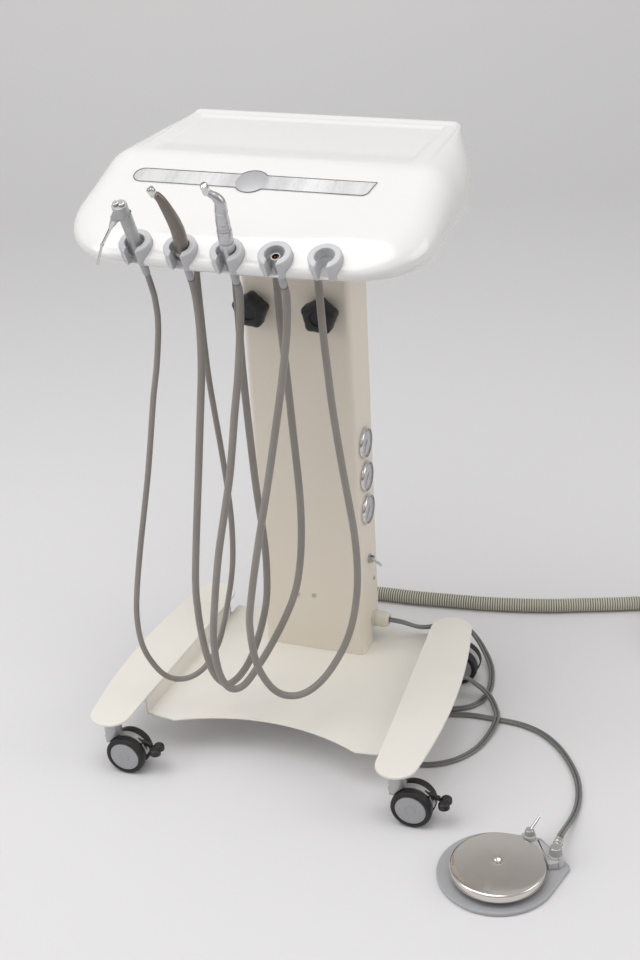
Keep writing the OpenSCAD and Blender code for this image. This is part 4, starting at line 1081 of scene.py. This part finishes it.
def make_motor():
    m = in_holder(2) @ Matrix.Translation((0, 0, -20)) @ turn("Y", MOTOR_LEAN)
    v, f, s = join_parts([
        lathe_part(in_holder(2), STEM + [(8.6, -16.2), (0, -16.2)], 40, lambda k: 1),
        lathe_part(m, [(0, 3), (8.4, 3), (8.7, 5), (9, 10), (9.4, 10.4), (9.4, 12.2),
                       (9.1, 12.6), (9.9, 24), (9.9, 38), (9.7, 38.8), (9.2, 39.1),
                       (9.2, 40.4), (9.7, 40.7), (9.9, 41.5), (9.9, 58.8), (9.6, 59.8),
                       (9.1, 60.1), (9.0, 61.6), (9.2, 62), (9.2, 65.4), (8.8, 66),
                       (3, 66), (3, 73.4), (2.4, 74), (0, 74)], 56,
                   lambda k: 2 if k in (8, 9, 10, 15, 16) else 0)])
    obj = build("motor", v, f, [SATIN, SLEEVE, COUPLER], "head", s, 40)
    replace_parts(obj, "micromotor")
    line = smooth_line([(0, 0, 84), (0.4, 0, 92), (1, 0, 100), (0.8, 0, 108), (-3, 0, 115),
                        (-9, 0, 119), (-14, 0, 122)], 6)
    fine = [p.x for p in smooth_line([(r, 0, 0) for r in (8.4, 8.2, 7.9, 7.3, 6.2, 5, 4.4)], 6)]
    head = m @ Matrix.Translation((-16, 0, 128)) @ turn("Y", -12)
    v, f, s = join_parts([
        lathe_part(m, [(0, 74.5), (3.06, 74.5), (3.06, 66.3), (8.8, 66.3), (9.2, 66.7),
                       (9.3, 71), (9.1, 71.4), (8.9, 71.5), (8.9, 72.1), (9.1, 72.4),
                       (9.35, 74.5), (9, 79), (8.6, 82), (8.4, 84.5), (0, 84.5)], 56),
        tube_part(line, fine, 36, m),
        lathe_part(m @ Matrix.Translation((0.4, 0, 92)), [(8.2, -0.7), (8.6, -0.4),
                                                          (8.6, 0.4), (8.1, 0.7)], 40),
        lathe_part(head, [(0, -9), (4.4, -9), (5.2, -8.4), (5.4, -7.6), (5.4, 4.8),
                          (5.1, 5.7), (4.6, 6), (4.6, 6.4), (4.3, 7.1), (3.6, 7.4),
                          (0, 7.4)], 40, lambda k: 1)])
    obj = build("contra_angle_piece", v, f, [SATIN, CHROME], "contra_angle", s, 40)
    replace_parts(obj, "contra_angle")


make_motor()


def make_coupler():
    m = in_holder(3)
    v, f, s = join_parts([
        lathe_part(m, STEM + [(9.2, -16.6), (8.6, -13.4), (8.2, -12), (7.2, -9.6),
                              (6.9, -9), (6.9, -4.4), (6.5, -4), (5.0, -4), (4.6, -4.4),
                              (4.6, -12), (0, -12)], 48,
                   lambda k: 0 if k < 6 else (2 if k > 12 else 1))]
        + [lathe_part(m @ Matrix.Translation((2.5 * math.cos(a), 2.5 * math.sin(a), 0)),
                      [(0.75, -12), (0.75, -6.6), (0.5, -6.2), (0, -6.2)], 16,
                      lambda k: 3)
           for a in [math.radians(45 + 90 * q) for q in range(4)]])
    obj = build("coupler", v, f, [SLEEVE, COUPLER, INK, COPPER], "head", s, 40)
    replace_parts(obj, "hose_coupler")


make_coupler()

# ---- foot control ----
FOOT = (399.0, -327.0)
softened("foot_base", "foot_plate", [FOOT_GREY], 1.6, 4)
softened("foot_housing", "foot_shoulder", [FOOT_TOP], 1.8, 4)
finish_node("foot_spring", SPRING)


CONE_TOP = 31.5


def cone_zone(x, y, z):
    """The grey cones under the chrome fitting and lever."""
    return 1 if z < CONE_TOP and y < -250 else 0


softened("foot_fitting", "hose_fitting", [CHROME, FOOT_CONE], 0.6, zone=cone_zone)
softened("foot_lever", "small_lever", [CHROME, FOOT_CONE], 0.5, zone=cone_zone)
disc = lathe("pressed_disc", place(*FOOT, 0), [
    (0, 7.5), (4, 7.5), (4, 22), (9.2, 22), (9.2, 13.6), (10.5, 13.6), (10.5, 24.6),
    (61.6, 22.4), (62.6, 21.6), (63, 15.4), (63.5, 15), (66, 15), (66.8, 15.5),
    (67, 16.4), (67, 23.6), (66.8, 25), (66.3, 26.2), (65.4, 27), (63, 27.5), (58, 28.1),
    (40, 30.2), (26, 31), (14, 31.4), (9, 31.35), (6.8, 31.1), (5.4, 30.5), (4.8, 29.8),
    (3.4, 29.4), (3.0, 28.9), (2.9, 28.2), (0, 28.1)], [DISC_CHROME_WARM_REFLECTION], "foot_disc", 144,
    sharp=60)
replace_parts(disc, "foot_disc")

# ---- casters ----
WHEEL_R = 31.0
TRAIL = 24.0
WHEEL = [(3, 0), (3, 5.5), (26.6, 5.5), (28, 5.6), (30, 6.5), (30.8, 7.8), (31, 9),
         (31, 16), (30.7, 17.8), (29.8, 19.3), (28.2, 20.3), (27, 20.5), (24.4, 20.5),
         (23.9, 20.2), (23.8, 19.4), (23.4, 19.3), (23.1, 19.9), (22.6, 20.1),
         (18, 20.3), (8.3, 20.45), (7.9, 20.1), (7.5, 20.1), (7.2, 20.45), (0, 20.5)]
HUB_FROM = 15  # the first point of WHEEL that belongs to the grey hub
CORNERS = {"fl": (-228, -238), "fr": (228, -238), "bl": (-198, 127), "br": (198, 127)}

for key, (x, y) in CORNERS.items():
    # the left back caster has swivelled half a turn, as in the part's source
    along = -TRAIL if key == "bl" else TRAIL
    parts = [lathe_part(place(x + along, y, WHEEL_R, turn("X", 90 * s)), WHEEL, 96,
                        lambda k: 1 if k >= HUB_FROM else 0) for s in (1, -1)]
    v, f, s = join_parts(parts)
    obj = build("twin_wheel_" + key, v, f, [TYRE, HUB], "wheels_" + key, s, 40)
    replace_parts(obj, "caster_wheels_" + key)
    softened("caster_housing_" + key, "caster_fork_" + key, [CASTER], 0.8)
    if key in ("fl", "fr"):
        softened("caster_pedal_" + key, "brake_pedal_" + key, [BLACK_PLASTIC], 1.0)


# ---- stage and light ----
FLOOR_FRONT = 6.0
FLOOR_BACK = 2.6
COVE_R = 1.2
COVE_STEPS = 12
WALL_Y = 3.8
WALL_TOP = 6.0
STAGE_HALF = 7.0
FLOOR_DROP = 0.0004


def make_stage():
    """A seamless floor that turns up into a backdrop."""
    mat, tree, bsdf = principled("backdrop")
    vector = coordinates(tree)
    split = tree.nodes.new("ShaderNodeSeparateXYZ")
    tree.links.new(vector, split.inputs[0])
    # The colour rises from a darker bluish grey on the floor to a paler warm white up the wall,
    # with soft clouds: painted light falloff and painted light patches.
    cloud = noise(tree, vector, 0.8, 2)
    height = tree.nodes.new("ShaderNodeMath")
    height.operation = "MULTIPLY_ADD"
    height.inputs[1].default_value = 0.12
    tree.links.new(cloud, height.inputs[0])
    tree.links.new(split.outputs["Z"], height.inputs[2])
    tint = mixed(tree, ranged(tree, height.outputs[0], 0, 1, 0.0, 1.1),
                 (0.74, 0.738, 0.755), (0.93, 0.925, 0.91))
    tree.links.new(tint, bsdf.inputs["Base Color"])
    bsdf.inputs["Roughness"].default_value = 0.75
    bsdf.inputs["Specular IOR Level"].default_value = 0.2
    section = [(-FLOOR_FRONT, 0.0), (FLOOR_BACK, 0.0)]
    for k in range(1, COVE_STEPS + 1):
        a = math.radians(90 / COVE_STEPS * k)
        section.append((FLOOR_BACK + COVE_R * math.sin(a), COVE_R - COVE_R * math.cos(a)))
    section.append((WALL_Y, WALL_TOP))
    a = -AZIMUTH
    verts, faces = [], []
    for x in (-STAGE_HALF, STAGE_HALF):
        for y, z in section:
            verts.append((x * math.cos(a) + y * math.sin(a),
                          -x * math.sin(a) + y * math.cos(a), z - FLOOR_DROP))
    n = len(section)
    for k in range(n - 1):
        faces.append((k, n + k, n + k + 1, k + 1))
    mesh = bpy.data.meshes.new("backdrop")
    mesh.from_pydata(verts, [], faces)
    mesh.materials.append(mat)
    for p in mesh.polygons:
        p.use_smooth = True
    obj = bpy.data.objects.new("backdrop", mesh)
    bpy.context.scene.collection.objects.link(obj)


def area(name, place_at, look, size, power, color=(1, 1, 1)):
    data = bpy.data.lights.new(name, "AREA")
    data.shape = "RECTANGLE"
    data.size, data.size_y = size
    data.energy = power
    data.color = color
    obj = bpy.data.objects.new(name, data)
    obj.location = place_at
    obj.rotation_euler = (Vector(look) - Vector(place_at)).to_track_quat("-Z", "Y").to_euler()
    bpy.context.scene.collection.objects.link(obj)


def make_light():
    world = bpy.data.worlds.new("studio")
    bpy.context.scene.world = world
    world.use_nodes = True
    back = world.node_tree.nodes["Background"]
    back.inputs["Color"].default_value = (1.0, 0.985, 0.98, 1)
    tree = world.node_tree
    coord = tree.nodes.new("ShaderNodeTexCoord")
    split = tree.nodes.new("ShaderNodeSeparateXYZ")
    tree.links.new(coord.outputs["Generated"], split.inputs[0])
    tree.links.new(ranged(tree, split.outputs["Z"], 0.18, 0.58, 0.02, 0.35),
                   back.inputs["Strength"])
    area("softbox_top", (-0.5, -0.6, 3.0), (0, 0, 0.3), (2.6, 2.2), 40)
    area("softbox_left", (-2.3, -1.6, 1.9), (0, 0, 0.6), (1.6, 2.0), 19, (1, 0.985, 0.96))
    area("softbox_right", (2.4, 0.2, 1.8), (0, 0, 0.5), (1.4, 1.8), 14, (1, 0.97, 0.93))


make_stage()
make_light()
bpy.context.scene.view_settings.view_transform = "Standard"
